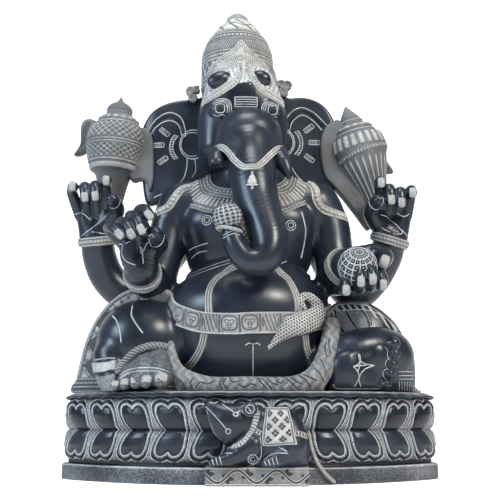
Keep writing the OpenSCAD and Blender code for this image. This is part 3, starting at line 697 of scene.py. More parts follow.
def pedestal():
    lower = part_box("lower_lotus_course")
    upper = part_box("upper_lotus_course")
    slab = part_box("seat_slab")
    z0, z1, z2, z3, z4 = 0.0, lower[0].z / MM, upper[0].z / MM, slab[0].z / MM, slab[1].z / MM
    step_z = z1 - 8

    def plain(across, share, pitch, x):
        worn = np.sin(x * 0.021) + np.sin(x * 0.047 + 2) + np.sin(share * 5 + x * 0.013)
        top = ridge(share - step_z / (z1 + 1) + 0.07, 0.05)
        # painted shade: the band set back above the step, under the lower lotus course, is painted dark
        dark = smooth_step(step_z - 1, step_z + 1, share * (z1 + 1))
        return 0.25 * worn, 0.3 + 0.03 * worn + 0.4 * top - 1.4 * dark, 0

    def lower_petals(across, share, pitch, x):
        proud, tone = petal_carving(across, share, pitch, z2 - z1, False, x)
        return proud, tone, 0

    def upper_petals(across, share, pitch, x):
        proud, tone = petal_carving(across, share, pitch, z3 - z2, True, x)
        return proud, tone, 0

    def slab_edge(across, share, pitch, x):
        scallop = np.abs(np.sin(math.pi * (across / pitch + 0.5) * 2)) ** 0.7
        # painted shadow: the foot of the slab, under its lip, is painted dark
        low = smooth_step(0.3, 0.0, share)
        lip = ridge(share - 0.2, 0.12)
        return -1.5 * low, np.clip(0.52 + 0.25 * lip - 0.9 * low, -0.6, 1), low * (4.5 * scallop - 2)

    show(course("base_plinth_stone",
                [[z0, 14], [z0, 3], [z0 + 3, 0], [step_z - 3, 0], [step_z, 3], [step_z + 1, 14],
                 [z1 + 1, 14]], plain, 2.6, True),
         "chiselled_granite", "base_plinth")
    roll = [[0, 22], [0, 15], [0.1, 8], [0.25, 4.5], [0.5, 3], [0.75, 4.5], [0.9, 8], [1, 15], [1, 22]]
    show(course("lower_lotus_stone", [[z1 + (z2 - z1) * a, b] for a, b in roll], lower_petals, 1.7, True),
         "polished_granite", "lower_lotus_course")
    show(course("upper_lotus_stone", [[z2 + (z3 - z2) * a, b] for a, b in roll], upper_petals, 1.7, True),
         "polished_granite", "upper_lotus_course")
    show(course("seat_slab_stone", [[z3 - 2, 24], [z3 - 1, 7], [z3 + 3, 2], [z3 + 5, 0.5], [z3 + 8, 3],
                                    [z4 - 1, 20], [z4, 26], [z4, 80], [z4, 140], [z4, 210]], slab_edge, 3.2),
         "polished_granite", "seat_slab")


# ---------------------------------------------------------------- trunk of the body

def lump(low, high, shapes, cell=3.0):
    clay = Clay(low, high, cell)
    for shape, blend in shapes:
        clay.add(shape, blend)
    return clay


def welded(clay, shapes, blend, bury=1.5):
    """Flares the clay onto the shapes that it grows out of, and takes away what lies inside them."""
    body = np.full(clay.field.shape, 80.0, np.float32)
    grower = Clay(clay.low, clay.low, clay.cell / COARSE)
    grower.field = body
    for shape, shape_blend in shapes:
        grower.add(shape, shape_blend)
    clay.field = np.maximum(soft_min(clay.field, grower.field + bury, blend), -(grower.field + bury))
    return clay


BELLY = [
    (egg((-4, 5, 265), (140, 112, 115)), 0),
    (egg((-6, -12, 190), (206, 158, 136)), 50),
    (egg((-4, -8, 96), (188, 146, 108)), 60),
]
CHEST = [
    (egg((-2, 14, 400), (160, 100, 130)), 0),
    (egg((-84, -44, 420), (72, 44, 54)), 46),
    (egg((80, -44, 420), (72, 44, 54)), 46),
    (limb([[-8, 25, 480, 82], [-14, 25, 610, 72]]), 40),
    (limb([[-40, 34, 520, 58], [-170, 28, 478, 56]]), 30),
    (limb([[36, 34, 520, 58], [166, 28, 478, 56]]), 30),
]


def belly():
    clay = lump((-250, -200, -3), (250, 180, 400), BELLY)
    clay.keep_above(1)
    piece = new_piece("belly_stone", *clay.mesh(), POLISHED)
    show(piece, "polished_granite", "belly")
    skin = Skin(piece)
    waist_belt(skin)
    belly_straps(skin)
    snake_belt(skin)
    lines = [carved(skin, [[7, 108], [7, 34]], 1.8, 1.2)]
    for side in (-1, 1):
        lines.append(carved(skin, [[7 + side * 2, 107], [7 + side * 9, 110], [7 + side * 16, 106]], 1.8, 1.4))
    # painted shade: the navel's hollow is painted dark
    lines.append(carved(skin, arc((7, 109), (5, 4), 0, 360, 13), 3, 2, -0.8))
    for row in (0, 9):
        lines.append(carved(skin, [[-151, 276 + row], [-108, 289 + row], [-50, 306 + row]], 1.5, 1.0))
        lines.append(carved(skin, [[66, 300 + row], [92, 318 + row * 0.8], [112, 318 + row],
                                   [134, 296 + row]], 1.5, 1.0))
    engrave(piece, lines)
    return piece


BELT = [[-205, 232], [-191, 197], [-160, 176], [-109, 159], [-39, 154], [0, 156], [72, 158], [128, 162],
        [188, 180], [203, 206]]


def waist_belt(skin):
    """Belt of rounded square panels with paired sloping ribbons between some of them."""
    line = skin.seen(BELT, step=1.5)

    def pattern(along, over):
        edge = ridge(np.abs(over) - 23, 2.6)
        pitch = 47
        u = (along + 8) % pitch - pitch / 2
        panel = (np.abs(u / 19) ** 3 + np.abs((over - 1) / 17) ** 3) ** (1 / 3)
        turn = np.arctan2(over - 1, u)
        flower = np.hypot(u, over - 1) - 8.5 - 3.2 * np.cos(3 * turn - math.pi / 2)
        cut = ridge(panel - 0.95, 0.1) + ridge(flower, 1.5) + ridge(np.hypot(u, over + 1) - 3.5, 1.2)
        post = ridge(np.abs(u) - 22.4, 1.2)
        ribbon = ((along / pitch).astype(int) % 3 == 1) & (np.abs(u) < 18)
        slant = ridge((u + over * 0.35) % 9 - 4.5, 1.4)
        cut = np.clip(np.where(ribbon, slant, cut) + post, 0, 1) * (np.abs(over) < 20)
        swell = smooth_step(1.0, 0.4, panel) * ~ribbon
        return 4.0 + 2.6 * edge + 1.6 * swell - 2.2 * cut, 0.5 + 0.45 * edge + 0.12 * swell - 1.0 * cut

    show(relief("waist_belt", skin, line, 50, pattern, CHISELLED, across=34, skirt=1),
         "chiselled_granite", "waist_band")


STRAPS = [
    [[-30, 300], [-46, 288], [-76, 266], [-91, 245], [-97, 216], [-95, 178]],
    [[60, 296], [70, 284], [92, 261], [105, 233], [112, 206], [112, 184]],
    [[-105, 134], [-113, 103], [-129, 75], [-147, 60], [-164, 62], [-176, 84]],
    [[129, 132], [134, 98], [145, 75], [158, 61], [170, 62], [180, 84]],
]


def belly_straps(skin):
    """Straps over the belly, each of three rounded cords."""
    def pattern(along, over):
        cords = sum(ridge(over - o, 3.1) for o in (-6.6, 0, 6.6))
        return 1.0 + 2.6 * cords, 0.25 + 0.65 * cords

    pieces = []
    for number, path in enumerate(STRAPS):
        line = skin.seen(path, step=1.5)
        pieces.append(relief(f"belly_strap_{number}", skin, line, 21, pattern, CHISELLED, across=22, skirt=1))
    show(joined("belly_strap_cords", pieces), "chiselled_granite", "belly_straps")


SNAKE_PATH = [[43, 99, 4], [57, 113, 8], [73, 129, 14], [92, 146, 22], [118, 157, 27], [142, 166, 26],
              [158, 184, 21], [156, 206, 15], [141, 222, 11], [124, 221, 9], [119, 207, 8], [128, 194, 6]]


def snake_belt(skin):
    """The snake tied over the belt: tail, thick coil and looped head, all over scales."""
    run = []
    for x, z, r in SNAKE_PATH:
        at, normal = skin.cast((x, -600, z), (0, 1, 0))
        if at is None:
            at, normal = skin.near((x, -120, z))
        lift = 2 + r * 0.28
        run.append([at[0], at[1] - lift, at[2], r])
    clay = Clay((20, -230, 80), (200, -60, 250), 1.6)
    clay.add(limb(run, 4, (1, 0.62, 1)))
    points, faces = clay.mesh()
    a = (points[:, 0] * 0.9 + points[:, 2] * 0.5) / 7.2
    b = (points[:, 2] * 0.9 - points[:, 0] * 0.5) / 7.2
    row = np.floor(b)
    gap = np.hypot((a + 0.5 * (row % 2)) % 1 - 0.5, (b % 1 - 0.45) * 0.8)
    pit = smooth_step(0.30, 0.2, gap)
    points[:, 1] += 1.6 * pit
    # painted shade: the sunk pit of each scale is painted dark
    chiselled("snake_belt_stone", points, faces, 0.75 - 1.5 * pit, "snake_belt")


def chest():
    clay = lump((-250, -140, 270), (250, 140, 680), CHEST)
    clay.add(egg((-2, 10, 330), (150, 100, 90)), 50)
    clay.keep_above(292)
    piece = new_piece("chest_stone", *clay.mesh(), POLISHED)
    show(piece, "polished_granite", "chest")
    skin = Skin(piece)
    necklace(skin)
    lines = []
    for x, z in ((-106, 416), (100, 403)):
        # painted shade: the pit in the middle of each ring is painted dark
        for r, half, tone in ((2, 3.4, -0.8), (6.5, 1.5, 1), (12, 1.5, 1)):
            lines.append(carved(skin, arc((x, z), (r, r), 0, 360, 17), half, 1.3, tone, step=1.1))
    lines.append(carved(skin, [[-152, 352], [-130, 356], [-104, 360]], 1.6, 1.3))
    lines.append(carved(skin, [[-147, 330], [-128, 340], [-106, 342]], 1.6, 1.3))
    lines.append(carved(skin, [[127, 440], [133, 418], [138, 392], [134, 360], [127, 330]], 2.4, 1.3))
    engrave(piece, lines)
    return piece


COLLAR_INNER = [[-100, 552], [-92, 522], [-62, 503], [-25, 498], [20, 502], [60, 515], [84, 532], [92, 560]]
COLLAR_OUTER = [[-172, 512], [-160, 468], [-122, 441], [-82, 430], [-25, 421], [60, 425], [112, 446],
                [146, 474], [160, 512]]


def necklace(skin):
    """Broad collar: a beaded inner row, a plain roll, long drops and a beaded outer row."""
    inner = even_steps(smooth_run(COLLAR_INNER, 8), 1)
    outer = even_steps(smooth_run(COLLAR_OUTER, 8), 1)
    columns = int(380 / COARSE)
    rows = int(74 / COARSE)
    t = np.linspace(0, 1, columns)
    a = np.stack([np.interp(t, np.linspace(0, 1, len(inner)), inner[:, i]) for i in (0, 1)], 1)
    b = np.stack([np.interp(t, np.linspace(0, 1, len(outer)), outer[:, i]) for i in (0, 1)], 1)
    share = np.linspace(0, 1, rows)
    points = []
    tones = []
    for j, s in enumerate(share):
        drops = np.abs(np.cos(t * math.pi * 34)) ** 0.6
        beads = np.abs(np.cos(t * math.pi * 28)) ** 0.6
        pearls = np.abs(np.cos(t * math.pi * 42)) ** 0.6
        inner_row = ridge(s - 0.13, 0.09) * beads
        rolls = ridges(s, [(0.02, 0.03), (0.25, 0.035), (0.36, 0.03), (0.985, 0.025)])
        long_drops = drops * smooth_step(0.38, 0.45, s) * smooth_step(0.84, 0.78, s)
        outer_row = ridge(s - 0.91, 0.06) * pearls
        work = np.clip(inner_row + rolls + long_drops + outer_row, 0, 1)
        height = 3.0 + 4.2 * work if 0 < j < rows - 1 else np.full(columns, -2.0)
        for i in range(columns):
            x, z = a[i] * (1 - s) + b[i] * s
            at, normal = skin.cast((x, -600, z), (0, 1, 0))
            if at is None:
                at, normal = skin.near((x, 0, z))
            points.append(at + normal * (height[i] if 0 < i < columns - 1 else -2.0))
        tones.append(0.1 + 0.6 * work)
    faces = grid_faces(rows, columns)
    chiselled("necklace_stone", np.array([tuple(p) for p in points]), faces, np.concatenate(tones),
              "necklace")


# ---------------------------------------------------------------- head

SKULL = [
    (limb([[-20, 26, 690, 108], [-24, 34, 790, 102], [-30, 40, 850, 92]], 3, (1, 0.92, 1)), 0),
    (limb([[-82, -8, 700, 54], [-84, -14, 622, 50]], 3, (1, 1.15, 1)), 26),
    (limb([[42, -8, 700, 54], [44, -14, 622, 50]], 3, (1, 1.15, 1)), 26),
    (egg((-20, -26, 756), (92, 62, 74)), 34),
    (egg((-20, 14, 596), (86, 76, 60)), 30),
]
NOSE = [
    (limb([[-3, -62, 640, 84], [-4, -76, 560, 90]], 3, (1, 0.86, 0.84)), 0),
]
TRUNK_RUN = [
    [0, -84, 600, 66], [4, -100, 560, 62], [8, -128, 506, 57], [17, -146, 448, 53], [33, -168, 394, 48],
    [45, -186, 348, 44], [42, -200, 312, 38], [20, -208, 291, 33], [-10, -210, 297, 29],
    [-33, -208, 328, 26], [-43, -204, 358, 23],
]
BOSSES = [((-79, -70, 786), (31, 17, 21), (0, -22, 0)), ((29, -70, 790), (26, 17, 20), (0, 24, 0))]
GARLANDS = [[[-26, 815], [-31, 793], [-38, 771], [-68, 751], [-92, 740], [-122, 730]],
            [[-2, 820], [4, 800], [10, 778], [26, 755], [50, 741], [86, 729]]]
EYES = [(-75, 706), (57, 701)]


def garland_height(x):
    """How low the ornament of the forehead hangs at each x."""
    line = np.array(GARLANDS[0][::-1][:4] + GARLANDS[1][2:])
    return np.interp(x, line[:, 0], line[:, 1] - 3)


def head():
    clay = lump((-170, -130, 500), (130, 150, 960), SKULL, 2.5)
    for centre, halves, turn in BOSSES:
        clay.add(egg(centre, halves, turn), 4)
    for x, z in EYES:
        clay.add(egg((x, -74, z), (25, 15, 23)), 12)
    points, faces = clay.mesh()
    x, y, z = points.T
    ornamented = smooth_step(-2, 3, z - garland_height(x))
    for centre, halves, turn in BOSSES:
        ornamented *= smooth_step(-1, 2, egg(centre, np.array(halves) + 1, turn).distance(x, y, z))
    locks = 0.18 * np.cos(x * 0.55 + 2 * np.sin(z * 0.11)) + 0.12 * np.cos(z * 0.7 + x * 0.2)
    front = smooth_step(0, -55, y)
    piece = new_piece("head_stone", points, faces, POLISHED, ornamented * (0.34 + (0.3 + locks) * front))
    show(piece, "polished_granite", "head")
    skin = Skin(piece)
    garlands(skin)
    forehead_stem(skin)
    engrave(piece, eye_lines(skin) + forehead_mark(skin))
    return piece


def placed(x, z, centre, turn):
    """Points [x, z] turned by some degrees and moved to a centre."""
    t = math.radians(turn)
    across = centre[0] + x * math.cos(t) - z * math.sin(t)
    up = centre[1] + x * math.sin(t) + z * math.cos(t)
    return np.stack([across, up], 1)


def arc(centre, radii, start, end, count=13):
    """Points [x, z] on an arc, in degrees counted from +X towards +Z."""
    a = np.radians(np.linspace(start, end, count))
    x = np.cos(a) * radii[0]
    z = np.sin(a) * radii[1]
    return placed(x, z, centre, 0)


def squarish(centre, half, start=0, end=360, power=3.2, count=33, turn=0):
    """Points on a rounded square."""
    a = np.radians(np.linspace(start, end, count))
    x = np.sign(np.cos(a)) * np.abs(np.cos(a)) ** (2 / power) * half[0]
    z = np.sign(np.sin(a)) * np.abs(np.sin(a)) ** (2 / power) * half[1]
    return placed(x, z, centre, turn)


def eye_lines(skin):
    """Each eye is a square pupil in a frame, under brow arcs that drop down its outer side."""
    lines = []
    for (x, z), side in zip(EYES, (-1, 1)):
        # painted shade: the sunk square pupil is painted dark
        lines.append(carved(skin, squarish((x, z - 2), (8, 8)), 2.6, 1.5, -0.8))
        lines.append(carved(skin, squarish((x, z - 2), (11.5, 11.5)), 1.4, 0.9))
        for reach in (17.5, 22.5, 27.5):
            low, high = (-25, 150) if side < 0 else (30, 205)
            lines.append(carved(skin, squarish((x - side, z - 3), (reach, reach + 1), low, high, 2.6),
                                1.3, 0.9))
        lines.append(carved(skin, [[x - 17, z - 16], [x - 8, z - 21], [x + 4, z - 18], [x + 13, z - 20]],
                            1.3, 0.9))
    return lines


def forehead_mark(skin):
    """Three bars in a frame between the eyes."""
    low, high = -38, 18
    lines = [stroke(skin.seen([[low, 734], [high, 734], [high, 710], [low, 710], [low, 734]], step=1.2,
                              smooth=False), 1.4, 0.8)]
    for z in (728, 722, 716):
        lines.append(carved(skin, [[low + 3, z], [high - 3, z]], 1.3, 1.0))
    return lines


def beaded(along, over, width, pitch, bead):
    """A band with a rim on each side and a row of beads between."""
    edge = ridge(np.abs(over) - width / 2 + 1.8, 1.8)
    pearls = dome(along, over, pitch, 0, bead)
    bright = np.maximum(edge, smooth_step(bead * 0.3, bead * 0.8, pearls))
    return 1.5 + 1.8 * edge + pearls, 0.55 + 0.4 * bright


def garlands(skin):
    for name, path in zip(("right", "left"), GARLANDS):
        for row, (shift, width, bead) in enumerate(((0, 15, 4.0), (13, 10, 2.6))):
            moved = [[x, z + shift] for x, z in path]
            line = skin.seen(moved, step=1.2)
            band = relief(f"{name}_garland_row_{row}", skin, line, width,
                          lambda a, o, w=width, b=bead: beaded(a, o, w, b * 2.1, b), CHISELLED, across=14)
            show(band, "chiselled_granite")


def forehead_stem(skin):
    """The pendant between the garlands: a stem with a cross bar over a leaf."""
    clay = Clay((-50, -110, 755), (30, -40, 835), 1.5)
    surface = skin.cast((-14, -600, 790), (0, 1, 0))[0][1]
    y = surface + 2
    clay.add(limb([[-16, y, 830, 5], [-16, y, 800, 4.5], [-16, y - 1, 776, 5.5]], 2))
    clay.add(limb([[-33, y - 2, 768, 4], [1, y - 2, 768, 4]], 1), 3)
    clay.add(limb([[-28, y - 2, 776, 2.5], [-4, y - 2, 776, 2.5]], 1), 2)
    points, faces = clay.mesh()
    chiselled("forehead_stem", points, faces, 0.75)


def nose_edge(x):
    """Height of the cusped lower edge of the broad root of the trunk."""
    share = np.clip(np.abs(x - 1) / 80, 0, 1)
    return 516 + 70 * smooth_step(0.12, 0.98, share)


def trunk():
    clay = lump((-110, -270, 250), (120, 20, 740), [(limb(TRUNK_RUN, 5), 0)], 2.5)
    cap = Clay((-110, -270, 250), (120, 20, 740), 2.5)
    for shape, blend in NOSE:
        cap.add(shape, blend)
    below = Shape((-110, -270, 250), (120, 20, 740), lambda x, y, z: (nose_edge(x) - z) + 0 * y)
    cap.keep(below)
    clay.field = soft_min(clay.field, cap.field, 3)
    piece = new_piece("trunk_stone", *clay.mesh(), POLISHED)
    show(piece, "polished_granite", "trunk")
    skin = Skin(piece)
    xs = np.linspace(-88, 80, 29)
    edge = skin.seen([[x, nose_edge(x) + 7] for x in xs], step=1.2)
    band = relief("nose_band", skin, edge, 17, triple_line, CHISELLED, across=16)
    show(band, "chiselled_granite")
    bell(skin)
    collar = [[-66, 351], [-52, 357], [-38, 362], [-24, 360]]
    lines = [carved(skin, np.add(collar, [0, -2]), 1.4, 1.0),
             carved(skin, np.add(collar, [0, -9]), 1.4, 1.0)]
    engrave(piece, lines)
    trunk_ornament()
    trunk_sweet()
    return piece


def triple_line(along, over):
    ribs = sum(ridge(over - o, 2.0) for o in (-6, 0, 6))
    knots = ridge((along % 9) - 4.5, 2.0) * (np.abs(over) < 6)
    return 2.0 + 2.2 * ribs + 0.8 * knots, 0.45 + 0.5 * ribs


def bell(skin):
    """The pendant that hangs from the band: a ring, a bell and its clapper."""
    at, _ = skin.cast((5, -600, 486), (0, 1, 0))
    x, y, z = 5, at[1], 486
    clay = Clay((x - 22, y - 16, z - 28), (x + 22, y + 14, z + 30), 1.2)
    clay.add(limb([[x, y, z + 22, 3], [x, y, z + 14, 3.5]], 1))
    clay.add(egg((x, y, z + 6), (8, 7, 10)), 2)
    clay.add(egg((x, y, z - 3), (11, 8, 8)), 3)
    for r, lift in ((13, -9), (9, 2)):
        clay.add(limb([[x - r, y - 1, z + lift, 2.2], [x, y - 4, z + lift - 1, 2.2],
                       [x + r, y - 1, z + lift, 2.2]], 4), 1)
    clay.add(egg((x, y - 2, z - 17), (4, 4, 5)), 1)
    points, faces = clay.mesh()
    chiselled("trunk_bell_stone", points, faces, 0.7, "trunk_bell")


def trunk_sweet():
    """The sweet at the trunk's tip, cut as a net of bumps over a rolled rim."""
    def net(angle, along, radius, height):
        bumps = np.abs(np.cos(angle * 8)) ** 0.6 * np.abs(np.cos(along * 0.36)) ** 0.6
        return 4.2 * bumps - 2, 0.85 - 0.75 * bumps

    outline = [[0.5, -27], [14, -26], [26, -20], [33, -6], [33, 10], [26, 24], [12, 31], [0.5, 32]]
    show(turned("trunk_sweet_stone", (-52, -204, 396), (8, -14, 0), outline, net, POLISHED, 240),
         "polished_granite", "trunk_sweet")
    clay = Clay((-90, -245, 345), (-10, -165, 390), 1.5)
    ring = [[-48 + 27 * math.cos(a), -205 + 26 * math.sin(a), 366 - 5 * math.cos(a), 4.5]
            for a in np.linspace(0, 2 * math.pi, 17)]
    clay.add(limb(ring, 2))
    points, faces = clay.mesh()
    chiselled("trunk_tip_roll", points, faces, 0.6)


def trunk_ornament():
    """The tassel of net and leaves between the two limbs of the trunk."""
    outline = [[-26, 412], [-6, 408], [6, 384], [18, 352], [20, 326], [4, 312], [-10, 322], [-18, 350],
               [-24, 380]]
    clay = Clay((-40, -215, 300), (30, -120, 425), 1.5)
    clay.add(sheet(outline, lambda x, z: -168 + 0.0 * x, 26, 6))
    points, faces = clay.mesh()
    x, y, z = points.T
    net = np.maximum(np.cos((x + z) * 0.42), np.cos((x - z) * 0.42)) ** 8
    points[:, 1] -= 2.4 * net * (y < -170)
    chiselled("trunk_tassel_stone", points, faces, 0.05 + 0.9 * net, "trunk_tassel")


def tusks():
    broken = Clay((-130, -150, 520), (-30, -30, 640), 2)
    broken.add(limb([[-70, -70, 600, 23], [-80, -104, 572, 21], [-82, -118, 552, 20]]))
    broken.cut(block((-140, -200, 500), (0, 0, 545)), 3)
    broken.cut(egg((-82, -120, 541), (12, 12, 9)), 4)
    show(new_piece("broken_tusk_stone", *broken.mesh(), POLISHED), "polished_granite", "broken_tusk")
    full = Clay((30, -150, 490), (120, -30, 640), 2)
    full.add(limb([[60, -74, 596, 27], [78, -108, 562, 22], [89, -122, 534, 14], [94, -128, 512, 5]]))
    show(new_piece("full_tusk_stone", *full.mesh(), POLISHED), "polished_granite", "full_tusk")


RIGHT_EAR = [[-112, 768], [-150, 776], [-190, 774], [-228, 762], [-266, 736], [-288, 694], [-292, 636],
             [-286, 570], [-272, 492], [-240, 488], [-200, 496], [-150, 530], [-90, 580]]
LEFT_EAR = [[74, 774], [108, 780], [146, 782], [184, 768], [214, 736], [230, 692], [232, 636], [230, 580],
            [226, 538], [212, 518], [184, 520], [122, 548], [60, 590]]


def ear_depth(root):
    def middle(x, z):
        out = np.abs(x - root) / 160
        return 52 + 14 * out ** 2 - 10 * np.exp(-((out - 0.75) / 0.25) ** 2)
    return middle


def ears():
    for name, outline, root in (("right", RIGHT_EAR, -128), ("left", LEFT_EAR, 98)):
        low = np.min(outline, 0) - 12
        high = np.max(outline, 0) + 12
        clay = Clay((low[0], 0, low[1]), (high[0], 110, high[1]), 2.5)
        clay.add(sheet(outline, ear_depth(root), 26, 9))
        piece = new_piece(name + "_ear_stone", *clay.mesh(), POLISHED)
        show(piece, "polished_granite", name + "_ear")
        engrave(piece, ear_lines(Skin(piece), -1 if name == "right" else 1))
        ear_scroll(name)


def ear_lines(skin, side):
    """Folds of the ear: a double arch, hatched bars and crescent, a ring and a long curve to the tip."""
    def line(points, half=1.6, depth=1.4, tone=1.0):
        return carved(skin, points, half, depth, tone)

    if side < 0:
        arch = [[-278, 652], [-268, 694], [-245, 722], [-213, 738], [-184, 724], [-172, 690], [-172, 672]]
        inner = [[-270, 656], [-260, 690], [-242, 712], [-214, 725], [-190, 713], [-181, 684]]
        bars = [((-226, 683), -38), ((-241, 647), 3), ((-229, 606), 38)]
        crescent = arc((-168, 643), (36, 40), 130, 230, 11)
        ring = arc((-150, 650), (36, 40), 70, 290, 17)
        tail = [[-166, 612], [-168, 580], [-180, 550], [-212, 524], [-250, 505]]
        fold = [[-146, 612], [-143, 580], [-152, 560]]
    else:
        arch = [[92, 690], [98, 722], [116, 744], [140, 752], [170, 738], [198, 708], [214, 690]]
        inner = [[104, 690], [110, 716], [124, 733], [142, 740], [166, 726], [190, 698]]
        bars = [((156, 694), 38), ((170, 655), -3), ((157, 612), -38)]
        crescent = arc((96, 654), (36, 40), -50, 50, 11)
        ring = arc((80, 655), (38, 40), -110, 110, 17)
        tail = [[104, 612], [112, 584], [132, 556], [170, 536], [204, 528]]
        fold = [[100, 622], [98, 594], [108, 572]]
    # painted shade: the deep fold inside the arch is painted dark
    lines = [line(arch), line(inner, 3.2, 2.6, -0.7), line(np.array(inner) * [1, 1] - [0, 9]), line(ring),
             line(tail), line(fold, 1.2)]
    centre = ring.mean(0)
    lines.append(line(centre + (ring - centre) * 0.82, 1.3))
    middle = crescent.mean(0)
    for grow in (0.93, 1.1):
        lines.append(line(middle + (crescent - middle) * [1, grow] + [side * (8 if grow > 1 else 0), 0], 1.3))
    for i in range(0, 11):
        a = crescent[i]
        lines.append(line([a, a + [side * 8, 0]], 1.0))
    for (x, z), turn in bars:
        bar = squarish((x, z), (14, 6), 0, 360, 8, 25, turn)
        lines.append(line(bar, 1.2))
        t = math.radians(turn)
        for k in (-9, -5, -1, 3, 7):
            at = np.array([x + k * math.cos(t), z + k * math.sin(t)])
            up = np.array([-math.sin(t), math.cos(t)]) * 5
            lines.append(line([at - up, at + up], 1.0))
    return lines


def ear_scroll(name):
    """The curled ornament where the ear meets the crown."""
    side = -1 if name == "right" else 1
    low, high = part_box(name + "_ear_flower")
    x, y, z = ((low + high) / 2 / MM)
    x -= 20 if side > 0 else 0
    z -= SEAT
    clay = Clay((x - 34, y - 30, z - 34), (x + 34, y + 30, z + 34), 1.5)
    for k, (dx, dz, r) in enumerate(((side * 10, 10, 12), (side * -6, 14, 9), (side * 2, -8, 12))):
        curl = []
        for a in np.linspace(0, 1.6 * 2 * math.pi, 15):
            reach = r * (1 - a / 14)
            curl.append([x + dx + reach * math.cos(a + k), y - 6 + a * 0.5,
                         z + dz + reach * math.sin(a + k), 3.4])
        clay.add(limb(curl, 2), 2)
        clay.add(egg((x + dx, y + 6, z + dz), (r, 10, r)), 3)
    points, faces = clay.mesh()
    near = smooth_step(8, -4, points[:, 1] - y)
    chiselled(name + "_ear_scroll", points, faces, 0.35 * near, name + "_ear_flower")


# ---------------------------------------------------------------- limbs

RIGHT_FRONT_ARM = [[-176, 22, 474, 56], [-204, 18, 424, 50], [-216, 6, 350, 48], [-236, -12, 284, 47],
                   [-252, -56, 272, 44], [-260, -100, 284, 38]]
LEFT_FRONT_ARM = [[172, 22, 474, 56], [202, 18, 424, 52], [212, 6, 350, 50], [218, -14, 294, 52],
                  [226, -56, 294, 48], [234, -96, 298, 42]]
RIGHT_REAR_ARM = [[-140, 74, 450, 52], [-196, 78, 388, 50], [-256, 74, 306, 47], [-312, 66, 256, 45],
                  [-362, 54, 290, 44], [-386, 36, 344, 43], [-390, 14, 390, 41]]
LEFT_REAR_ARM = [[140, 74, 450, 52], [186, 78, 388, 50], [226, 74, 306, 47], [268, 66, 256, 45],
                 [314, 54, 290, 44], [346, 36, 344, 43], [358, 14, 390, 41]]


def arms():
    body = BELLY + CHEST
    for name, run, low, high in (
            ("right_front_arm", RIGHT_FRONT_ARM, (-320, -160, 200), (-90, 110, 560)),
            ("left_front_arm", LEFT_FRONT_ARM, (90, -160, 200), (290, 110, 560)),
            ("right_rear_arm", RIGHT_REAR_ARM, (-450, -30, 190), (-60, 140, 540)),
            ("left_rear_arm", LEFT_REAR_ARM, (60, -30, 190), (410, 140, 540))):
        clay = welded(lump(low, high, [(limb(run, 5), 0)]), body, 34)
        piece = new_piece(name + "_stone", *clay.mesh(), POLISHED)
        show(piece, "polished_granite", name)
        if "front" in name:
            armlet(name.split("_")[0], Skin(piece))
    bracelets()


ARMLETS = {"right": [[-144, 520], [-172, 508], [-190, 484], [-206, 462], [-236, 452]],
           "left": [[150, 532], [164, 508], [168, 480], [180, 460], [206, 448], [246, 440]]}


def armlet(side, skin):
    """The beaded band over the shoulder and round the upper arm."""
    line = skin.seen(ARMLETS[side], step=1.4)
    band = relief(side + "_armlet_band", skin, line, 24, lambda a, o: beaded(a, o, 23, 11.5, 5.2),
                  CHISELLED, across=26)
    show(band, "chiselled_granite", side + "_armlet")


BRACELETS = [("right_front_bracelet", (-259, -92, 281), (72, 0, 0), 41),
             ("left_front_bracelet", (231, -80, 298), (68, 0, 22), 46),
             ("right_rear_bracelet", (-389, 16, 384), (12, -5, 0), 45),
             ("left_rear_bracelet", (357, 16, 386), (12, 17, 0), 45)]


def bracelets():
    """Each bracelet is a ring with a row of beads between two cords."""
    def carving(angle, along, radius, height):
        cords = ridge(np.abs(height) - 8.5, 2.8)
        beads = np.abs(np.cos(angle * 17)) ** 0.6 * ridge(height, 6.5)
        work = np.clip(cords + beads, 0, 1)
        return 2.6 * work, 0.2 + 0.6 * work

    for name, centre, turn, r in BRACELETS:
        outline = [[r - 8, -13], [r - 1, -12], [r + 3, -9], [r + 4, 0], [r + 3, 9], [r - 1, 12], [r - 8, 13]]
        ring = turned(name + "_ring", centre, turn, outline, carving, CHISELLED, 260, 1.4)
        show(ring, "chiselled_granite", name)


RIGHT_LEG = [
    (egg((-266, -52, 116), (106, 84, 107)), 0),
    (limb([[-140, -6, 110, 80], [-230, -30, 128, 82]]), 30),
    (limb([[-328, -82, 84, 46], [-318, -104, 40, 43], [-300, -118, 12, 40]]), 12),
]
LEFT_LEG = [
    (limb([[150, -40, 80, 50], [200, -92, 56, 50], [240, -100, 86, 55], [290, -88, 98, 56],
           [334, -66, 94, 54], [352, -46, 74, 46], [354, -36, 30, 46]]), 0),
    (egg((282, -66, 60), (96, 60, 78)), 24),
]
CUFF_TOP = 70
CUFF_PARTING = 43


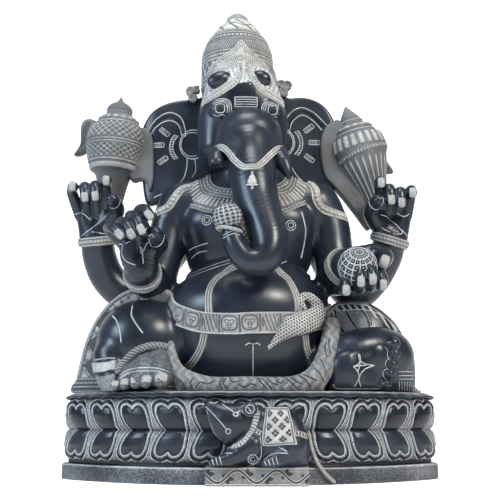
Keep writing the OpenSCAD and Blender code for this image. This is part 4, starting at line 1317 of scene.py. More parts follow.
def right_leg():
    clay = welded(lump((-400, -190, -3), (-90, 90, 250), RIGHT_LEG), BELLY, 24)
    clay.keep_above(1)
    points, faces = clay.mesh()
    x, y, z = points.T
    drop = z - 0.004 * (x + 336) ** 2 - 0.12 * (x + 336)
    cuff = (x < -296) & (y < -40)
    upper = smooth_step(CUFF_TOP, CUFF_TOP - 3, drop) * smooth_step(CUFF_PARTING, CUFF_PARTING + 3, drop)
    lower = smooth_step(CUFF_PARTING - 4, CUFF_PARTING - 7, drop)
    side = smooth_step(-304, -312, x)
    tone = np.where(cuff, (0.62 * upper + 0.42 * lower) * side, 0)
    points[:, 0] -= np.where(cuff, 3.0 * upper * side, 0)
    points[:, 1] -= np.where(cuff, 3.0 * upper * side, 0)
    piece = new_piece("right_leg_stone", points, faces, POLISHED, tone)
    show(piece, "polished_granite", "right_leg")
    skin = Skin(piece)
    drawn = [[[-329, 181], [-316, 167], [-306, 144], [-301, 115]],
             [[-281, 205], [-280, 180], [-268, 159], [-251, 137]]]
    lines = [carved(skin, line, 2.0, 1.4) for line in drawn]
    edges = [[[-369, 74], [-350, 76], [-330, 78], [-314, 78]], [[-366, 42], [-340, 43], [-318, 50]]]
    # painted shade: the lower groove of the cuff is painted dark; the upper one is pale
    lines += [carved(skin, line, 1.8, 1.4, tone) for line, tone in zip(edges, (0.9, -0.9))]
    engrave(piece, lines)
    return piece


def rope(name, run, radius, strands, pitch, material, around=28):
    """A twisted cord along a run of points."""
    line = even_steps(smooth_run(run, 8), 1.4 * COARSE)
    ahead = np.gradient(line, axis=0)
    ahead /= np.linalg.norm(ahead, axis=1, keepdims=True)
    side = np.cross(ahead, [0.03, 0.02, 1.0])
    side /= np.linalg.norm(side, axis=1, keepdims=True)
    up = np.cross(side, ahead)
    along = np.r_[0, np.cumsum(np.linalg.norm(np.diff(line, axis=0), axis=1))]
    angle = np.linspace(0, 2 * math.pi, around, endpoint=False)
    along_grid, angle_grid = np.meshgrid(along, angle, indexing="ij")
    twist = np.abs(np.cos(strands / 2 * (angle_grid + along_grid * 2 * math.pi / pitch)))
    end = np.minimum(along_grid, along[-1] - along_grid)
    r = radius * (0.72 + 0.28 * twist) * np.sqrt(np.clip(end / radius, 0.02, 1))
    points = (line[:, None] + side[:, None] * (np.cos(angle_grid) * r)[..., None]
              + up[:, None] * (np.sin(angle_grid) * r)[..., None])
    faces = grid_faces(len(line), around, wrap_columns=True).tolist()
    faces += [list(range(around)), [(len(line) - 1) * around + i for i in range(around)][::-1]]
    return new_piece(name, points.reshape(-1, 3), faces, material, (twist * 0.8 - 0.2).ravel())


def left_leg():
    clay = welded(lump((90, -190, -3), (420, 90, 230), LEFT_LEG), BELLY, 24)
    clay.keep_above(1)
    piece = new_piece("left_leg_stone", *clay.mesh(), POLISHED)
    show(piece, "polished_granite", "left_leg")
    skin = Skin(piece)
    lines = [carved(skin, [[350, z], [372, z + 1], [396, z + 2]], 1.4, 1.2) for z in (30, 38, 47)]
    lines += [carved(skin, [[x, 25], [x + 1, 5]], 1.3, 1.2) for x in range(352, 400, 7)]
    engrave(piece, lines)
    return piece


RIGHT_TOES = [[-197, 25, 17], [-231, 22, 14], [-258, 20, 13], [-283, 17, 12], [-306, 14, 10.5]]
LEFT_TOES = [[336, 111, 17], [339, 87, 14], [333, 63, 13], [326, 41, 12], [316, 17, 12]]


def toe_y(x):
    """How far forward a toe of the right foot reaches: the toes follow the bow of the pedestal."""
    return -210 + 0.42 * max(abs(x) - 196, 0)


def right_foot(leg):
    clay = Clay((-350, -240, -3), (-140, -60, 130), 2.2)
    clay.add(limb([[-214, -96, 84, 30], [-208, -140, 62, 30], [-202, -182, 32, 24]], 4))
    clay.add(limb([[-238, -96, 76, 32], [-244, -138, 54, 30], [-248, -176, 28, 20]], 4), 14)
    clay.add(limb([[-262, -100, 52, 30], [-276, -134, 40, 26], [-290, -156, 20, 14]], 4), 14)
    for x, z, r in RIGHT_TOES:
        y = toe_y(x)
        clay.add(limb([[x + 3, y + 36, z + 4, r + 2], [x, y + 12, z, r], [x - 1, y, z - 3, r * 0.9]], 4), 6)
    clay.keep_above(1)
    piece = new_piece("right_foot_stone", *clay.mesh(), POLISHED)
    # painted light: the whole foot is painted paler, for the sheen of light and sky reflected on its top
    set_tone(piece.data, np.full(len(piece.data.vertices), 0.33))
    show(piece, "polished_granite", "right_foot")
    skin = Skin(piece)
    rows = [[[-296, 38], [-275, 50], [-233, 54], [-201, 50], [-180, 42]],
            [[-297, 30], [-274, 43], [-232, 46], [-200, 43], [-182, 33]]]
    lines = [carved(skin, line, 1.7, 1.2) for line in rows]
    engrave(piece, lines)
    pads = Clay((-335, -246, -3), (-170, -140, 60), 1.3)
    for x, z, r in RIGHT_TOES:
        pads.add(nail_pad((x, toe_y(x) + 2 - r * 0.62, z + r * 0.4), (-34, 0, 0), (r * 0.8, r * 0.68)))
    points, faces = pads.mesh()
    chiselled("right_foot_nails", points, faces, 0.6)

    skin = Skin(leg, piece)
    run = []
    for x, z in ((-306, 40), (-302, 50), (-292, 68), (-266, 92), (-237, 104), (-212, 106), (-188, 102)):
        at, normal = skin.cast((x, -600, z), (0, 1, 0))
        run.append([x, max(at[1], -150) - 5, z])
    show(rope("right_anklet_rope", run, 9.5, 4, 34, CHISELLED), "chiselled_granite", "right_anklet")


SOLE = [[188, 2], [184, 30], [184, 58], [190, 76], [206, 90], [245, 104], [284, 115], [306, 120],
        [322, 108], [324, 80], [318, 50], [306, 20], [296, 2]]
SOLE_STAR = [
    [[246, 99], [252, 84], [253, 72], [247, 62], [236, 56]],
    [[256, 99], [250, 84], [252, 72], [263, 64], [286, 60]],
    [[236, 56], [244, 48], [249, 36], [246, 24], [238, 12]],
    [[286, 60], [265, 52], [252, 38], [249, 26], [254, 12]], [[253, 68], [250, 56], [246, 46]],
    [[240, 57], [252, 59], [266, 60]],
]


def sole_y(x):
    """Middle of the upright left foot, which turns back towards its toes."""
    return -136 + 0.3 * np.maximum(x - 230, 0)


def left_foot():
    clay = Clay((170, -200, -3), (365, -70, 150), 2.2)
    clay.add(sheet(SOLE, lambda x, z: sole_y(x) + 0.001 * (z - 55) ** 2, 52, 20))
    clay.add(egg((224, -144, 48), (36, 24, 44)), 14)
    clay.add(egg((296, sole_y(296) - 8, 84), (30, 24, 34)), 14)
    for x, z, r in LEFT_TOES:
        y = sole_y(x)
        clay.add(limb([[x - 26, y - 8, z - 2, r * 0.8], [x - 1, y - 20, z, r]], 4), 4)
    clay.keep_above(1)
    piece = new_piece("left_foot_stone", *clay.mesh(), POLISHED)
    show(piece, "polished_granite", "left_foot")
    skin = Skin(piece)
    lines = [carved(skin, line, 1.5, 1.1, step=1.1) for line in SOLE_STAR]
    lines.append(carved(skin, [[190, 16], [196, 8], [220, 6], [300, 7]], 1.5, 1.0))
    for x, z, r in LEFT_TOES[:4]:
        lines.append(carved(skin, arc((x - 4, z), (r * 1.2, r * 1.1), 120, 240, 9), 1.3, 1.0, step=1.1))
    engrave(piece, lines)
    run = [[186, -128, 80], [200, -138, 94], [245, -142, 110], [284, -134, 121], [306, -124, 126],
           [322, -108, 122]]
    show(rope("left_anklet_rope", run, 3.6, 3, 12, CHISELLED, 14), "chiselled_granite", "left_anklet")


# ---------------------------------------------------------------- cloth

RIGHT_DRAPE = [[-426, -5], [-427, 34], [-421, 68], [-408, 121], [-387, 170], [-354, 214], [-316, 243],
               [-270, 259], [-220, 258], [-176, 232], [-130, 150], [-130, -5]]
LEFT_DRAPE = [[404, -5], [402, 20], [399, 50], [395, 82], [389, 113], [376, 141], [356, 168], [330, 190],
              [306, 208], [281, 219], [240, 222], [206, 216], [176, 180], [130, 120], [130, -5]]
ZIGZAG = [[-378, 36], [-388, 42], [-407, 67], [-380, 90], [-399, 120], [-364, 148], [-376, 166], [-352, 196]]


def drape_y(x):
    """Middle of the cloth behind each knee, which follows the bow of the pedestal."""
    return -12 + 0.35 * np.maximum(np.abs(x) - 320, 0)


def inside_gap(points, outline):
    """Distance from each [x, z] point to the nearest edge of an outline."""
    line = smooth_run(outline, 5)
    a = line[:-1]
    d = line[1:] - a
    best = np.full(len(points), 1e9)
    for start, way in zip(a, d):
        t = np.clip(((points - start) @ way) / max(way @ way, 1e-9), 0, 1)
        best = np.minimum(best, np.linalg.norm(points - start - t[:, None] * way, axis=1))
    return best


def fringe(x, z, pitch, top):
    """Three pale lines over a row of upright bars, as a (height, tone) pair."""
    lines = sum(ridge(z - (top - row * 9.5), 3.4) for row in range(3))
    bars = np.abs(np.cos(x * math.pi / pitch)) ** 0.7 * smooth_step(top - 26, top - 28, z)
    work = np.where(z > top - 24, lines, bars)
    return 2.4 * work, 1.5 * work - 0.55


def right_drape():
    clay = Clay((-440, -60, -6), (-110, 50, 275), 2.4)
    clay.add(sheet(RIGHT_DRAPE, lambda x, z: drape_y(x), 78, 12))
    clay.keep_above(1)
    points, faces = clay.mesh()
    x, y, z = points.T
    gap = inside_gap(points[:, [0, 2]], RIGHT_DRAPE[:9])
    face = smooth_step(-28, -34, y - drape_y(x))
    border = x < np.interp(z, [k[1] for k in ZIGZAG], [k[0] for k in ZIGZAG])
    border |= z > 196
    edging = smooth_step(10, 8, gap)
    beads = np.abs(np.cos(np.arctan2(z - 60, x + 250) * 74)) ** 0.6 * ridge(gap - 5, 4)
    leaf = smooth_step(0.25, 0.05, np.abs(np.sin(x * 0.13 + z * 0.10) * np.sin(x * 0.10 - z * 0.13)))
    tone = np.where(border, 0.66 - 0.5 * leaf, -0.6)
    tone = np.where(np.abs(gap - 12) < 1.8, -0.7, tone)
    tone = tone * (1 - edging) + edging * (0.25 + 0.5 * beads)
    lift = face * (1.8 * border * (1 - edging) + 2.2 * beads * edging)
    under = z < 38
    fringe_lift, fringe_tone = fringe(x, z, 6.4, 34)
    tone = np.where(under, fringe_tone, tone)
    lift = np.where(under, face * fringe_lift, lift)
    points[:, 1] -= lift
    piece = new_piece("right_drape_stone", points, faces, CHISELLED, np.where(face > 0.3, tone, 0.3))
    show(piece, "chiselled_granite", "right_thigh_drape")
    sash = Clay((-262, -80, 210), (-180, -20, 250), 1.8)
    sash.add(sheet([[-252, 241], [-228, 240], [-204, 235], [-194, 224], [-208, 215], [-232, 219],
                    [-252, 230]],
                   lambda x, z: -54 + 0 * x, 12, 5))
    show(new_piece("right_sash_end", *sash.mesh(), CHISELLED, None), "chiselled_granite")


def left_drape():
    shape = sheet(LEFT_DRAPE, lambda x, z: drape_y(x), 84, 22)
    clay = Clay((110, -110, -6), (420, 60, 235), 2.4)
    clay.add(shape)
    clay.add(egg((262, -34, 110), (104, 56, 96)), 30)
    clay.keep_above(1)
    points, faces = clay.mesh()
    x, y, z = points.T
    gap = inside_gap(points[:, [0, 2]], LEFT_DRAPE[:13])
    pleated = smooth_step(288, 284, x - 0.12 * (z - 160)) * smooth_step(96, 104, z)
    band = smooth_step(26, 23, gap) * smooth_step(8, 10, gap) * (z > 140)
    chevron = np.abs(np.sin((x * 0.9 + z * 0.5) * 0.22))
    tone = 0.42 * pleated * (1 - band) + band * (0.75 * smooth_step(0.75, 0.9, chevron) + 0.1)
    tone += 0.8 * ridge(gap - 8, 2) * (z > 150)
    under = (z < 44) & (x > 340)
    fringe_lift, fringe_tone = fringe(x, z, 6.4, 40)
    tone = np.where(under, fringe_tone, tone)
    points[:, 1] -= np.where(under & (y - drape_y(x) < -30), fringe_lift, 0)
    piece = new_piece("left_drape_stone", points, faces, POLISHED, tone)
    show(piece, "polished_granite", "left_thigh_drape")
    skin = Skin(piece)
    lines = []
    for shift in (0, 5):
        for pleat in ([[204, 200], [212, 166], [226, 140]], [[232, 198], [243, 172], [258, 148]],
                      [[272, 196], [281, 181], [286, 158]]):
            drawn = skin.seen([[x + shift, z + shift * 0.6] for x, z in pleat], step=1.2)
            # painted shade: the deep cut of each pleat is painted dark; the line beside it is pale
            lines.append(stroke(drawn, 1.8, 2.6, -1.0 if shift == 0 else 0.6))
    lines.append(carved(skin, [[199, 203], [228, 197], [279, 199], [324, 184], [350, 160]], 1.6, 1.2))
    curls = [[[361, 132], [362, 120], [368, 112], [376, 112], [378, 120]],
             [[362, 60], [368, 74], [377, 78], [382, 72]], [[356, 92], [366, 96], [374, 92]]]
    lines += [carved(skin, curl, 1.6, 1.2, step=1.1) for curl in curls]
    engrave(piece, lines)


SEAT_CLOTH = [[-186, -112, 112, 8], [-181, -134, 84, 12], [-170, -148, 50, 18], [-146, -160, 26, 24],
              [-90, -170, 12, 22], [0, -174, 12, 22], [90, -172, 12, 22], [140, -162, 24, 27],
              [166, -148, 52, 27], [180, -132, 88, 24], [190, -112, 128, 22], [196, -90, 158, 20]]
SWIRLS = [
    [[-128, 30], [-134, 18], [-130, 6]], [[-122, 8], [-112, 20], [-96, 16], [-84, 22]],
    [[-60, 30], [-68, 18], [-62, 4]], [[-54, 30], [-60, 18], [-52, 6]], [[-46, 26], [-36, 20], [-22, 24]],
    [[-26, 16], [-12, 8], [2, 16], [14, 12]], [[18, 30], [26, 18], [38, 4]],
    [[26, 30], [36, 20], [48, 4]], [[40, 28], [50, 18], [62, 14]], [[60, 24], [68, 18], [76, 24]],
    [[82, 31], [92, 20], [104, 6]], [[90, 31], [104, 22], [116, 16]], [[112, 34], [124, 26], [136, 8]],
    [[120, 38], [136, 30], [150, 24]], [[146, 52], [158, 40], [166, 24]],
    [[160, 74], [168, 58], [172, 40]], [[176, 112], [172, 96], [176, 80]],
    [[184, 122], [182, 104], [186, 88]], [[-160, 26], [-150, 14], [-146, 4]],
]


def seat_cloth():
    clay = Clay((-215, -205, -6), (230, 10, 190), 2.4)
    clay.add(limb(SEAT_CLOTH, 5))
    clay.add(block((-168, -172, -4), (168, -20, 20), 10), 10)
    clay = welded(clay, BELLY, 6)
    clay.keep_above(1)
    points, faces = clay.mesh()
    grain = np.sin(points[:, 0] * 0.31 + 2 * np.sin(points[:, 2] * 0.2)) * 0.1
    piece = new_piece("seat_cloth_stone", points, faces, CHISELLED, 0.36 + grain)
    show(piece, "chiselled_granite", "seat_cloth")
    skin = Skin(piece)
    # painted shade: the swirl grooves are painted dark
    engrave(piece, [carved(skin, line, 1.9, 1.6, -0.9, step=1.1) for line in SWIRLS])


# ---------------------------------------------------------------- hands

RIGHT_FRONT_FINGERS = [
    [[-300, -122, 345, 14], [-334, -150, 380, 13], [-319, -184, 375, 13], [-300, -200, 357, 12]],
    [[-281, -122, 350, 15], [-308, -150, 392, 14], [-288, -190, 383, 14], [-272, -208, 356, 13]],
    [[-260, -122, 354, 15], [-284, -150, 407, 14], [-264, -192, 396, 14], [-249, -210, 366, 13]],
    [[-238, -122, 356, 15], [-264, -148, 416, 14], [-248, -182, 420, 14], [-233, -200, 402, 13]],
    [[-238, -116, 326, 20], [-214, -142, 340, 19], [-216, -170, 354, 19], [-221, -186, 362, 17]],
]
RIGHT_FRONT_PALM = [[[-290, -124, 350, 22], [-285, -118, 318, 25], [-264, -104, 286, 32]],
                    [[-242, -122, 350, 22], [-243, -116, 318, 25], [-252, -104, 286, 32]]]
RIGHT_REAR_FINGERS = [
    [[-432, -6, 446, 15], [-450, -26, 498, 13.5], [-445, -48, 509, 13.5], [-442, -60, 508, 13]],
    [[-412, -8, 450, 15], [-418, -30, 508, 14], [-412, -62, 503, 14], [-408, -70, 478, 13]],
    [[-386, -8, 452, 15], [-392, -30, 510, 14], [-386, -64, 506, 14], [-382, -72, 480, 13]],
    [[-364, -8, 456, 15], [-364, -30, 510, 14], [-359, -52, 526, 14], [-358, -62, 522, 13]],
    [[-354, -8, 430, 20], [-334, -36, 450, 19], [-336, -60, 464, 18], [-340, -74, 470, 16]],
]
RIGHT_REAR_PALM = [[[-420, 0, 448, 23], [-412, 2, 420, 26], [-398, 12, 388, 36]],
                   [[-364, -2, 446, 23], [-372, 0, 420, 26], [-388, 12, 388, 36]]]
LEFT_REAR_FINGERS = [
    [[398, -6, 446, 15], [406, -26, 490, 13.5], [403, -54, 500, 13.5], [403, -66, 490, 13]],
    [[378, -8, 450, 15], [379, -30, 494, 14], [375, -62, 492, 14], [374, -70, 464, 13]],
    [[354, -8, 454, 15], [352, -30, 502, 14], [348, -64, 499, 14], [349, -72, 471, 13]],
    [[333, -8, 456, 15], [329, -30, 508, 14], [326, -54, 522, 14], [326, -64, 516, 13]],
    [[318, -8, 426, 20], [303, -36, 446, 19], [310, -58, 462, 18], [318, -72, 468, 16]],
]
LEFT_REAR_PALM = [[[388, 0, 446, 23], [380, 2, 415, 26], [364, 12, 382, 36]],
                  [[330, -2, 444, 23], [338, 0, 415, 26], [354, 12, 382, 36]]]
LEFT_FRONT_FINGERS = [
    [[236, -120, 250, 17], [222, -150, 238, 15], [219, -178, 244, 14], [219, -192, 228, 13]],
    [[256, -124, 250, 17], [254, -160, 240, 15], [253, -190, 266, 14], [252, -202, 247, 13]],
    [[278, -124, 252, 17], [280, -160, 246, 15], [279, -190, 273, 14], [279, -202, 252, 13]],
    [[298, -122, 256, 17], [306, -154, 250, 15], [304, -180, 262, 14], [304, -194, 240, 13]],
    [[256, -92, 314, 24], [294, -106, 332, 22], [320, -134, 318, 20], [313, -160, 300, 16]],
]
LEFT_FRONT_PALM = [[[236, -92, 296, 40], [262, -110, 270, 34], [284, -118, 262, 30]],
                   [[240, -96, 312, 34], [276, -100, 316, 32], [296, -112, 290, 28]]]


def box_of(runs_, border):
    stations = np.array([station for run in runs_ for station in run])
    reach = stations[:, 3:].max() + border
    return stations[:, :3].min(0) - reach, stations[:, :3].max(0) + reach


def nail_pad(centre, turn, half):
    """A small pillow: a nail, facing the front before it is turned."""
    m = turn_matrix(turn).T

    def distance(x, y, z):
        q = [x - centre[0], y - centre[1], z - centre[2]]
        u, v, w = [m[i][0] * q[0] + m[i][1] * q[1] + m[i][2] * q[2] for i in range(3)]
        across = ((u / half[0]) ** 4 + (w / half[1]) ** 4 + 1e-9) ** 0.25
        bend = v - 0.03 * u * u - 0.022 * w * w
        return np.maximum((across - 1) * min(half), np.abs(bend) - 3.4) + 0 * x

    reach = max(half) + 5
    return Shape(np.array(centre) - reach, np.array(centre) + reach, distance)


def finger_nail(station, before, wide):
    """The nail on the front of a finger's tip, in line with its last joint."""
    x, y, z, r = station
    along = np.array([x - before[0], z - before[2]], float)
    angle = 0
    if np.linalg.norm(along) > 8 and along[1] < 0:
        angle = math.degrees(math.atan2(-along[0], -along[1]))
    return nail_pad((x, y - r * 0.86, z - 1), (0, angle, 0), (8.6 * wide, 12.5 * wide))


def hand(name, fingers, palm, nodes, thumb_nail=True):
    """A hand of fingers and palm lobes, with its nails as pale pads."""
    low, high = box_of(fingers + palm, 6)
    clay = Clay(low, high, 1.8)
    clay.add(limb(palm[0], 4))
    clay.add(limb(palm[1], 4), 16)
    for run in fingers[:-1]:
        clay.add(limb(run, 4), 4)
    clay.add(limb(fingers[-1], 4), 7)
    piece = new_piece(name + "_stone", *clay.mesh(), POLISHED)
    show(piece, "polished_granite", *nodes)
    pads = Clay(low - 4, high, 1.3)
    for run in fingers if thumb_nail else fingers[:-1]:
        pads.add(finger_nail(run[-1], run[-2], 1.25 if run is fingers[-1] else 1.0))
    points, faces = pads.mesh()
    chiselled(name + "_nails", points, faces, 0.55)
    return piece


def rear_hands():
    right = hand("right_rear_hand", RIGHT_REAR_FINGERS, RIGHT_REAR_PALM, ["right_rear_hand"], False)
    skin = Skin(right)
    thumb_ring = arc((-338, 468), (17, 19), 150, 400, 17)
    palm_lines = [[[-444, 446], [-424, 448], [-404, 432]], [[-424, 392], [-400, 408], [-356, 446]],
                  [[-398, 400], [-366, 396], [-342, 398]]]
    engrave(right, [carved(skin, line, 1.5, 1.2, step=1.1) for line in palm_lines + [thumb_ring]])
    left = hand("left_rear_hand", LEFT_REAR_FINGERS, LEFT_REAR_PALM, ["left_rear_hand"], False)
    skin = Skin(left)
    thumb_ring = arc((312, 466), (17, 19), 140, 390, 17)
    palm_lines = [[[402, 446], [388, 440], [372, 448]],
                  [[330, 444], [352, 436], [380, 406], [382, 396], [360, 396], [332, 410]],
                  [[384, 404], [402, 388]]]
    engrave(left, [carved(skin, line, 1.5, 1.2, step=1.1) for line in palm_lines + [thumb_ring]])


def front_hands():
    right = hand("right_front_hand", RIGHT_FRONT_FINGERS, RIGHT_FRONT_PALM, ["right_front_hand"], False)
    skin = Skin(right)
    palm_lines = [[[-312, 346], [-296, 346], [-280, 352], [-268, 348]],
                  [[-302, 344], [-304, 322], [-292, 304], [-272, 296]],
                  [[-262, 340], [-256, 332], [-254, 316], [-252, 300]],
                  [[-252, 330], [-244, 346], [-228, 356], [-222, 350]],
                  arc((-219, 358), (20, 25), 150, 400, 17)]
    engrave(right, [carved(skin, line, 1.5, 1.2, step=1.1) for line in palm_lines])
    left = hand("left_front_hand", LEFT_FRONT_FINGERS, LEFT_FRONT_PALM, ["left_front_hand"])
    return left


def sweet_ball():
    def lattice(angle, along, radius, height):
        lines = np.maximum(np.cos(angle * 15), np.cos(along * 0.47)) ** 6
        return 1.8 * lines - 0.6, 0.15 + 0.85 * lines

    r = 46
    outline = [[r * math.sin(a), -r * math.cos(a)] for a in np.linspace(0.03, math.pi - 0.03, 13)]
    show(turned("sweet_ball_stone", (252, -158, 288), (50, 0, 0), outline, lattice, POLISHED),
         "polished_granite", "sweet_ball")


# ---------------------------------------------------------------- crown

CROWN_X = -34
CROWN_Y = 40


def crown():
    base = (CROWN_X, CROWN_Y, 0)

    def headband(angle, along, radius, height):
        rows = ridge(height - 812, 4) + ridge(height - 858, 4) + ridge(height - 876, 3)
        beads = np.abs(np.cos(angle * 34)) ** 0.6 * (ridge(height - 800, 8) + ridge(height - 867, 6))
        leaf = np.abs(np.sin(angle * 13 + height * 0.07) * np.sin(angle * 13 - height * 0.07))
        net = smooth_step(0.3, 0.08, leaf) * ((height > 816) & (height < 854))
        work = np.clip(rows + beads + net * 0.8, 0, 1)
        return 3.0 * work, 0.1 + 0.75 * work

    def strands(angle, along, radius, height):
        locks = ridge((angle * 15 + 0.9 * np.sin(height * 0.11)) % 1 - 0.5, 0.42)
        grain = np.sin(angle * 90 + height * 0.9) * 0.12
        return 2.2 * locks, 0.05 + 0.6 * locks + grain

    def beads(angle, along, radius, height):
        drops = np.abs(np.cos(angle * 24)) ** 0.5 * ridge(height - 922, 7)
        pearls = np.abs(np.cos(angle * 34)) ** 0.6 * ridge(height - 938, 4)
        cords = ridge(height - 931, 2.2) + ridge(height - 914, 2.2) + ridge(height - 944, 2.2)
        work = np.clip(drops + pearls + cords, 0, 1)
        return 3.4 * work, 0.85 * work - 0.05

    def cap(angle, along, radius, height):
        swirl = ridge(((angle / math.pi * 5 + 0.03 * height) % 1 - 0.5), 0.16)
        scroll = ridge(height - 966 + 5 * np.sin(angle * 5), 3)
        work = np.clip(1 - 0.8 * swirl - 0.7 * scroll, 0, 1)
        return 2.6 * work, 0.85 * work - 0.1

    def petalled(angle, along, radius, height):
        leaf = np.abs(np.cos(angle * 4)) ** 0.4
        return 1.0 * leaf, 0.34 + 0.12 * leaf

    tiers = (
        ("crown_band", headband, 420,
         [[84, 770], [93, 778], [95, 792], [94, 806], [94, 840], [94, 868], [93, 884]]),
        ("crown_dome", strands, 420, [[88, 872], [93, 882], [92, 896], [88, 908], [81, 918]]),
        ("crown_bead_tier", beads, 420,
         [[78, 906], [85, 912], [83, 921], [78, 930], [73, 938], [66, 945], [56, 949]]),
        ("crown_top_rings", cap, 320,
         [[58, 942], [63, 948], [60, 957], [54, 966], [47, 974], [40, 980], [36, 984], [32, 989], [22, 991]]),
        ("crown_finial", petalled, 240,
         [[20, 984], [28, 988], [30, 995], [28, 1002], [22, 1008], [15, 1013], [8, 1016.5], [0.5, 1018.5]]),
    )
    for node, carving, around, outline in tiers:
        piece = turned(node + "_stone", base, (0, 0, 0), outline, carving, CHISELLED, around)
        show(piece, "chiselled_granite", node)
    plaque()


PLAQUE = [[-114, 818], [-96, 840], [-76, 855], [-57, 864], [-39, 879], [-23, 898], [-8, 882], [4, 872],
          [26, 854], [48, 836], [62, 816], [44, 800], [14, 790], [-28, 786], [-72, 790], [-98, 802]]


def plaque():
    """The pointed front of the crown, with leaves set round an oval jewel."""
    def face_y(x):
        return CROWN_Y - np.sqrt(np.maximum(99.0 ** 2 - (x - CROWN_X) ** 2, 24.0 ** 2))

    clay = Clay((-124, -72, 776), (72, 32, 910), 1.5)
    clay.add(sheet(PLAQUE, lambda x, z: face_y(x) + 1, 15, 3))
    points, faces = clay.mesh()
    x, y, z = points.T
    gap = inside_gap(points[:, [0, 2]], PLAQUE)
    front = smooth_step(-2, -5, y - face_y(x))
    dots = 0.8 * (np.cos((x + z) * 0.95) > 0.3) * ridge(gap - 8, 1.6)
    edging = ridge(gap - 5, 1.3) + ridge(gap - 11, 1.2) + dots
    dx, dz = x + 25, z - 846
    up = np.clip(1 - np.maximum(dz, 0) / 56, 0.05, 1) ** 1.6
    flame = np.where(dz > 0, np.abs(dx) / up, np.hypot(dx, dz * 1.15))
    oval = np.hypot(dx, dz * 1.5)
    lines = ridge(flame % 5 - 2.5, 1.25) * (flame > 16) * (flame < 42) * (oval > 15) * (gap > 12)
    lines += ridge(oval - 13, 1.5) + ridge(oval - 7, 1.1)
    lines += ridge((np.arctan2(dx, dz) * 9) % 1 - 0.5, 0.14) * (flame >= 42) * (gap > 12)
    cut = np.clip(edging + lines, 0, 1)
    points[:, 1] += (2.2 * cut - 1.2) * front
    # painted shade: the lines sunk into the face are painted dark
    chiselled("crown_plaque_stone", points, faces, np.where(front > 0.3, 1.0 - 1.3 * cut, 0.35),
              "crown_plaque")


# ---------------------------------------------------------------- conches

def lattice_pattern(angle, height, columns, pitch, low, high, sharp=0.16):
    """Crossed ribs between two heights."""
    a = angle * columns / (2 * math.pi)
    b = height / pitch
    cross = np.minimum(np.abs((a + b) % 1 - 0.5), np.abs((a - b) % 1 - 0.5))
    above = smooth_step(sharp, sharp * 0.3, cross) * smooth_step(low, low + 2, height)
    return above * smooth_step(high, high - 2, height)


RIGHT_RIBBON = [[-436, 722], [-420, 722], [-396, 700], [-392, 618], [-404, 613], [-417, 626], [-434, 629],
                [-450, 622], [-466, 624], [-456, 641], [-450, 656], [-450, 680], [-450, 702], [-445, 716]]
LEFT_RIBBON = [[322, 682], [346, 682], [354, 671], [358, 643], [356, 630], [361, 609], [376, 584],
               [374, 574], [335, 575], [320, 592], [316, 626], [316, 660]]
RIGHT_WEB = [[-300, 692], [-274, 692], [-257, 664], [-253, 600], [-254, 547], [-263, 520], [-270, 542],
             [-286, 553], [-306, 549], [-320, 570], [-330, 640], [-318, 690]]
LEFT_WEB = [[236, 714], [216, 709], [199, 694], [188, 668], [185, 631], [188, 592], [197, 558],
            [212, 540], [240, 507], [274, 461], [305, 420], [318, 446], [296, 500], [280, 560],
            [268, 620], [258, 680]]


def ribbon(name, outline, flow):
    """A curled ribbon tied to a conch, with lines along its flow."""
    points = np.array(outline, float)
    low, high = points.min(0) - 6, points.max(0) + 6
    clay = Clay((low[0], 25, low[1]), (high[0], 85, high[1]), 1.6)
    clay.add(sheet(outline, lambda x, z: 54 + 0 * x, 30, 11))
    piece = new_piece(name, *clay.mesh(), CHISELLED)
    set_tone(piece.data, np.full(len(piece.data.vertices), 0.25))
    show(piece, "chiselled_granite")
    skin = Skin(piece)
    # painted shade: the grooves along the flow are painted dark
    lines = [carved(skin, [[x + side * 5, z] for x, z in flow], 1.5, 1.6, -0.9, step=1.1)
             for side in (-1, 0, 1)]
    engrave(piece, lines)


def web(name, outline):
    """The plain stone left standing between a conch and the ear."""
    points = np.array(outline, float)
    low, high = points.min(0) - 8, points.max(0) + 8
    clay = Clay((low[0], 20, low[1]), (high[0], 74, high[1]), 2.4)
    clay.add(sheet(outline, lambda x, z: 47 + 0 * x, 38, 6))
    points, faces = clay.mesh()
    chiselled(name, points, faces, 0.16)


def conch_ties():
    ribbon("right_conch_ribbon", RIGHT_RIBBON,
           [[-428, 712], [-440, 680], [-444, 656], [-456, 634], [-454, 616]])
    ribbon("left_conch_ribbon", LEFT_RIBBON, [[338, 672], [342, 640], [342, 620], [348, 600], [362, 582]])
    web("right_conch_web", RIGHT_WEB)
    web("left_conch_web", LEFT_WEB)


def right_conch():
    def carving(angle, along, radius, height):
        upper_net = lattice_pattern(angle, height, 26, 15, 242, 288)
        net = upper_net + lattice_pattern(angle, height, 26, 13, 190, 228)
        bands = ridges(height, [(237, 3.4), (230, 3), (186, 4), (292, 4)])
        hem = smooth_step(164, 168, height) * smooth_step(180, 176, height)
        scroll = ridge(height - 306, 11) * (0.75 + 0.25 * np.cos(angle * 16))
        knob = ridge(height - 326, 3) * 0.6
        work = np.clip(net + bands + 0.9 * hem + scroll + knob, 0, 1)
        speckle = 0.1 * np.sin(angle * 60) * np.sin(height * 0.9)
        return 3.0 * work, -0.05 + 0.72 * work + speckle

    show(turned("right_conch_stone", (-372, 54, 412), (0, 4, 0),
                [[10, -30], [18, 0], [27, 60], [36, 110], [45, 150], [58, 166], [64, 176], [70, 200],
                 [76, 228], [76, 250], [71, 270], [62, 286], [56, 296], [50, 308], [38, 318], [33, 326],
                 [34, 338], [27, 349], [11, 360], [4, 369], [0.5, 378]], carving, CHISELLED, 330, 2.0),
         "chiselled_granite", "right_conch")


